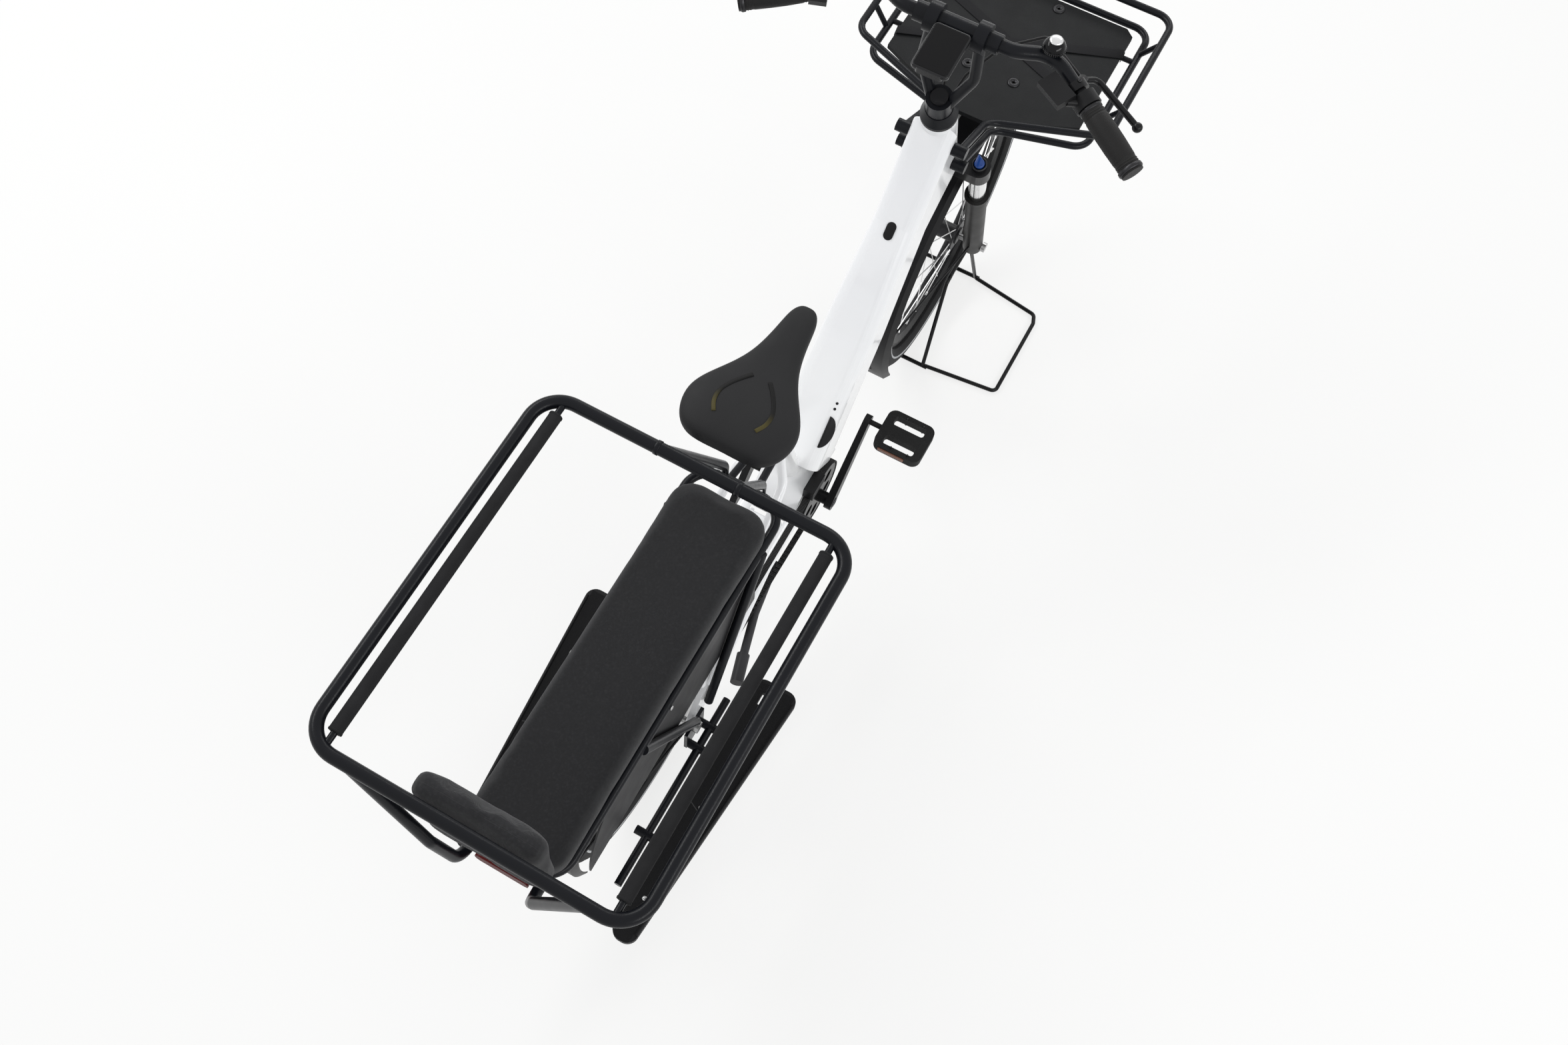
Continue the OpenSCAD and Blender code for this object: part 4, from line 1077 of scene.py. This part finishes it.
# covers on the beam: a place near its surface, and the way to look at it
covers = {
    "beamWay": (0.69, 0, 0.72),
    "port": (-0.1103, 0, 1.1114),
    "portWay": (0.74, 0, -0.67),
    "portSize": (0.032, 0.017, 0.0084),
    "portHigh": 0.0016,
    "flank": (0.0385, -0.0405, 0.477),
    "flankWay": (0.54, 0.63, -0.55),
    "flankSize": (0.031, 0.019),
    "flankHigh": 0.0035,
    # two small sealed holes ahead of the flank's cover
    "holes": (0.046, 0.057),
    "hole": ((-0.001, 0.0026), (0.0005, 0.0026), (0.0006, 0.001)),
}


def makeFrameCovers():
    bm = bmesh.new()
    # oval port cover on the beam's top
    place, facing = touch("frame_main", covers["port"], covers["portWay"])
    raised(bm, roundedOutline(*covers["portSize"], 8), covers["portHigh"],
           layOn(place, covers["beamWay"], facing), 0.1)
    # half-round cable cover on the right flank
    way = Vector(covers["flankWay"])
    place, facing = touch("frame_main", Vector(covers["flank"]) - way * 0.3, way)
    long, wide = covers["flankSize"]
    half = [(long * math.cos(a), -wide * math.sin(a) + 0.006)
            for a in (math.radians(12 * k) for k in range(16))]
    spot = layOn(place, covers["beamWay"], facing)
    raised(bm, half, covers["flankHigh"], spot, 0.1)
    for along in covers["holes"]:
        start = spot @ Vector((along, 0.004, 0.05))
        turned(bm, covers["hole"], *touch("frame_main", start, -facing), 14)
    piece("frameCovers", bm, "black_satin", "frame")


motorBolts = {"circle": 0.058, "turns": (35, 80, 150, 205, 270, 325), "from": 0.3}


def makeMotorBolts():
    boltPiece("motorBolts", "frame", [
        ("motor", axleAt("crankAxle", y) + outward(turn) * motorBolts["circle"], (0, -y, 0),
         0.0035, 0.002)
        for turn in motorBolts["turns"] for y in (-motorBolts["from"], motorBolts["from"])])


rail = {
    "collar": (-0.3765, 0.0645, 0.99),
    "collarProfile": ((-0.004, 0.01), (-0.003, 0.0111), (0.003, 0.0111), (0.004, 0.01)),
    "railBolt": (-0.6, 0.036, 0.706),
    "rackBolt": (-0.6, 0.4, 0.6657),
    "boardBolts": ((-0.44, 0.166, 0.5), (-0.62, 0.1606, 0.5), (-0.8, 0.1552, 0.5)),
    "foamY": 0.214,
    # where the sleeves end, and the way out there
    "foamEnds": ((-0.4045, 1), (-0.9385, -1)),
}


def makeRailTrim():
    bm = bmesh.new()
    for side in (-1, 1):
        x, y, z = rail["collar"]
        turned(bm, rail["collarProfile"], (x, y * side, z), (0, 1, 0), 24)
    piece("railCollars", bm, "tube_black", "frame")

    rows = []
    for s in (-1, 1):
        mirror = Vector((1, s, 1))
        rows.append(("guard_rail", Vector(rail["railBolt"]) * mirror, (1, 0, 0), 0.0042, 0.0028))
        rows += [("running_boards", Vector(place) * mirror, (0, 0, -1), 0.0042, 0.002, 0.0006)
                 for place in rail["boardBolts"]]
        rows.append(("rear_rack", Vector(rail["rackBolt"]) * mirror, (0, -s, 0), 0.004, 0.0026))
    boltPiece("rackBolts", "frame", rows, "steel")


# each foam sleeve ends in a cut ring
def makeFoamEnds():
    bm = bmesh.new()
    low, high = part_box("rail_foam")
    r, z = (high[2] - low[2]) / 2, (low[2] + high[2]) / 2
    for side in (-1, 1):
        for x, out in rail["foamEnds"]:
            turned(bm, [(-0.003, r * 0.99), (-0.002, r + 0.0006), (0.0005, r + 0.0004),
                        (0.001, r * 0.86)], (x, side * rail["foamY"], z), (out, 0, 0), 24)
    piece("foamEnds", bm, "foam", "frame")
    print("frame and rail dressed")


drive = {
    "beltY": -0.054,
    "beltHalf": 0.005,
    "front": 0.068,
    "rear": 0.04,
    "pitch": 0.011,
    "rib": 0.0027,
    "steps": 60,
    # a tooth's half length as a share of the pitch, its root above the belt and its depth
    "tooth": (0.27, 0.0007, 0.0016),
}


# teeth on the belt's inner side, all round its path
def makeBeltTeeth():
    a, b = Vector(bike["crankAxle"]), Vector(bike["rearAxle"])
    ahead = (b - a).normalized()
    side = Vector((-ahead.y, ahead.x))
    lean = math.acos((drive["front"] - drive["rear"]) / (b - a).length)
    steps = drive["steps"]
    path = []
    for centre, radius, start, sweep in ((a, drive["front"], lean, 2 * math.pi - 2 * lean),
                                         (b, drive["rear"], -lean, 2 * lean)):
        for i in range(steps + 1):
            t = start + sweep * i / steps
            out = math.cos(t) * ahead + math.sin(t) * side
            path.append((centre + out * radius, out))
    path.append(path[0])

    bm = bmesh.new()
    share, root, deep = drive["tooth"]
    w = drive["pitch"] * share
    spare = 0
    for (p, d), (q, e) in zip(path, path[1:]):
        step = (q - p).length
        while spare < step:
            s = spare / step
            m, n = p + (q - p) * s, (d + (e - d) * s).normalized()
            along = Vector((-n.y, n.x))
            tooth = (m + n * root + along * w, m - n * deep + along * w * 0.8,
                     m - n * deep - along * w * 0.8, m + n * root - along * w)
            capped(bm, [[Vector((c.x, y, c.y)) for c in tooth]
                        for y in (drive["beltY"] - drive["beltHalf"],
                                  drive["beltY"] + drive["beltHalf"])])
            spare += drive["pitch"]
        spare -= step
    piece("beltTeeth", bm, "belt_rubber", "frame", smooth=False)
    print("belt toothed")


cranks = {
    "cap": ((-0.001, 0.0105), (0.0008, 0.0105), (0.0016, 0.0095), (0.0016, 0.005),
            (0.0002, 0.0048)),
    "reflector": (0.052, 0.009, 0.003),
    "reflectorShift": 0.004,
    "pin": ((-0.001, 0.0021), (0.0026, 0.0019), (0.0031, 0.001)),
    # how far in from the pedal's outline the pins stand
    "pinInset": (0.008, 0.024),
}


def makePedalTrim(name, side):
    node = "pedal_" + name
    low, high = (Vector(corner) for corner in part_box(node))
    mid = (low + high) / 2
    bm = bmesh.new()
    for x, end in ((low.x, -1), (high.x, 1)):
        place = (x + end * 0.0002, mid.y + side * cranks["reflectorShift"], mid.z)
        softSlab(bm, cranks["reflector"], 0.002, 0.001, layOn(place, (0, 1, 0), (end, 0, 0)))
    piece(name + "PedalReflectors", bm, "amber_reflector", node)
    bm = bmesh.new()
    insetX, insetY = cranks["pinInset"]
    for x in (low.x + insetX, high.x - insetX):
        for y in (low.y + insetY, mid.y, high.y - insetY):
            for z in (-1, 1):
                place, facing = touch(node, (x, y, mid.z + z * 0.1), (0, 0, -z))
                if place:
                    turned(bm, cranks["pin"], place, facing, 8)
    piece(name + "PedalPins", bm, "blackBolt", node)


def makeCrankTrim():
    bm = bmesh.new()
    for side in (-1, 1):
        place, facing = touch("crankset", axleAt("crankAxle", side * 0.3), (0, -side, 0))
        turned(bm, cranks["cap"], place, facing, 22)
    piece("crankCaps", bm, "blackBolt", "crank")
    makePedalTrim("left", 1)
    makePedalTrim("right", -1)
    print("cranks dressed")


light = {
    # power, place, size
    "lamps": {
        "key": (88, (0.5, 3.2, 3.3), (4.2, 0.55)),
        "fill": (60, (-1, -3.4, 2.6), (3.6, 0.6)),
        "front": (26, (3.4, 0.4, 2.6), (2.6, 0.6)),
    },
    "aim": (0, 0, 0.5),
    "world": 0.68,
    "sky": (0.97, 0.98, 1, 1),
    "floor": (0.78, 0.78, 0.77, 1),
    "floorPale": (0.84, 0.84, 0.83, 1),
    "floorGlow": 0.74,
    "floorDrop": 0.0015,
    "floorReach": 30,
}


# pale floor that looks lit through, yet takes the bike's shadow
def makeFloor():
    paint = Paint("floor", light["floor"], 0.75, 0.2)
    cloud = paint.noise(0.9, 3) * 0.25
    paint.set(colour=paint.mix(cloud, light["floor"], light["floorPale"]),
              normal=paint.bump(paint.noise(60, 3), 0.0002))
    glow = paint.add("ShaderNodeEmission", {}, {"Color": (1, 1, 0.995, 1), "Strength": 1})
    paint.mixInto(paint.looked() * light["floorGlow"], Term(paint, paint.shader.outputs[0]), glow)
    bm = bmesh.new()
    bmesh.ops.create_grid(bm, x_segments=2, y_segments=2, size=light["floorReach"])
    floor = meshed("floor", bm, "floor")
    floor.location = (0, 0, -light["floorDrop"])


def makeLamps():
    for name, (power, place, size) in light["lamps"].items():
        lamp = bpy.data.lights.new(name, "AREA")
        lamp.shape = "RECTANGLE"
        lamp.size, lamp.size_y = size
        lamp.energy = power
        holder = linked(name, lamp)
        holder.location = place
        way = Vector(light["aim"]) - Vector(place)
        holder.rotation_euler = way.to_track_quat("-Z", "Y").to_euler()


# white where it is looked at, and a soft light elsewhere
def makeSky():
    world = bpy.data.worlds.new("studio")
    scene.world = world
    sky = Paint("studio", owner=world)
    lit = sky.add("ShaderNodeBackground", {}, {"Color": light["sky"], "Strength": light["world"]})
    white = sky.add("ShaderNodeBackground", {}, {"Color": (1, 1, 1, 1), "Strength": 1})
    sky.mixInto(sky.looked(), lit, white)


makeCamera()
makeFloor()
makeLamps()
makeSky()
scene.view_settings.view_transform = "Standard"
print("stage set")
makePaints()
dressNodes()
for name, wheel in wheels.items():
    makeTread(name, wheel)
    makeWheelTrim(name, wheel)
print("wheels dressed")
makeCushion("seatPadCover", "seat_pad", pad)
makeCushion("backrestCover", "backrest", rest)
makeSaddle()
makeDeckTrim()
makeCockpit()
makeForkKnob()
makeFenderBolts()
makeFrameCovers()
makeMotorBolts()
makeRailTrim()
makeFoamEnds()
makeBeltTeeth()
makeCrankTrim()
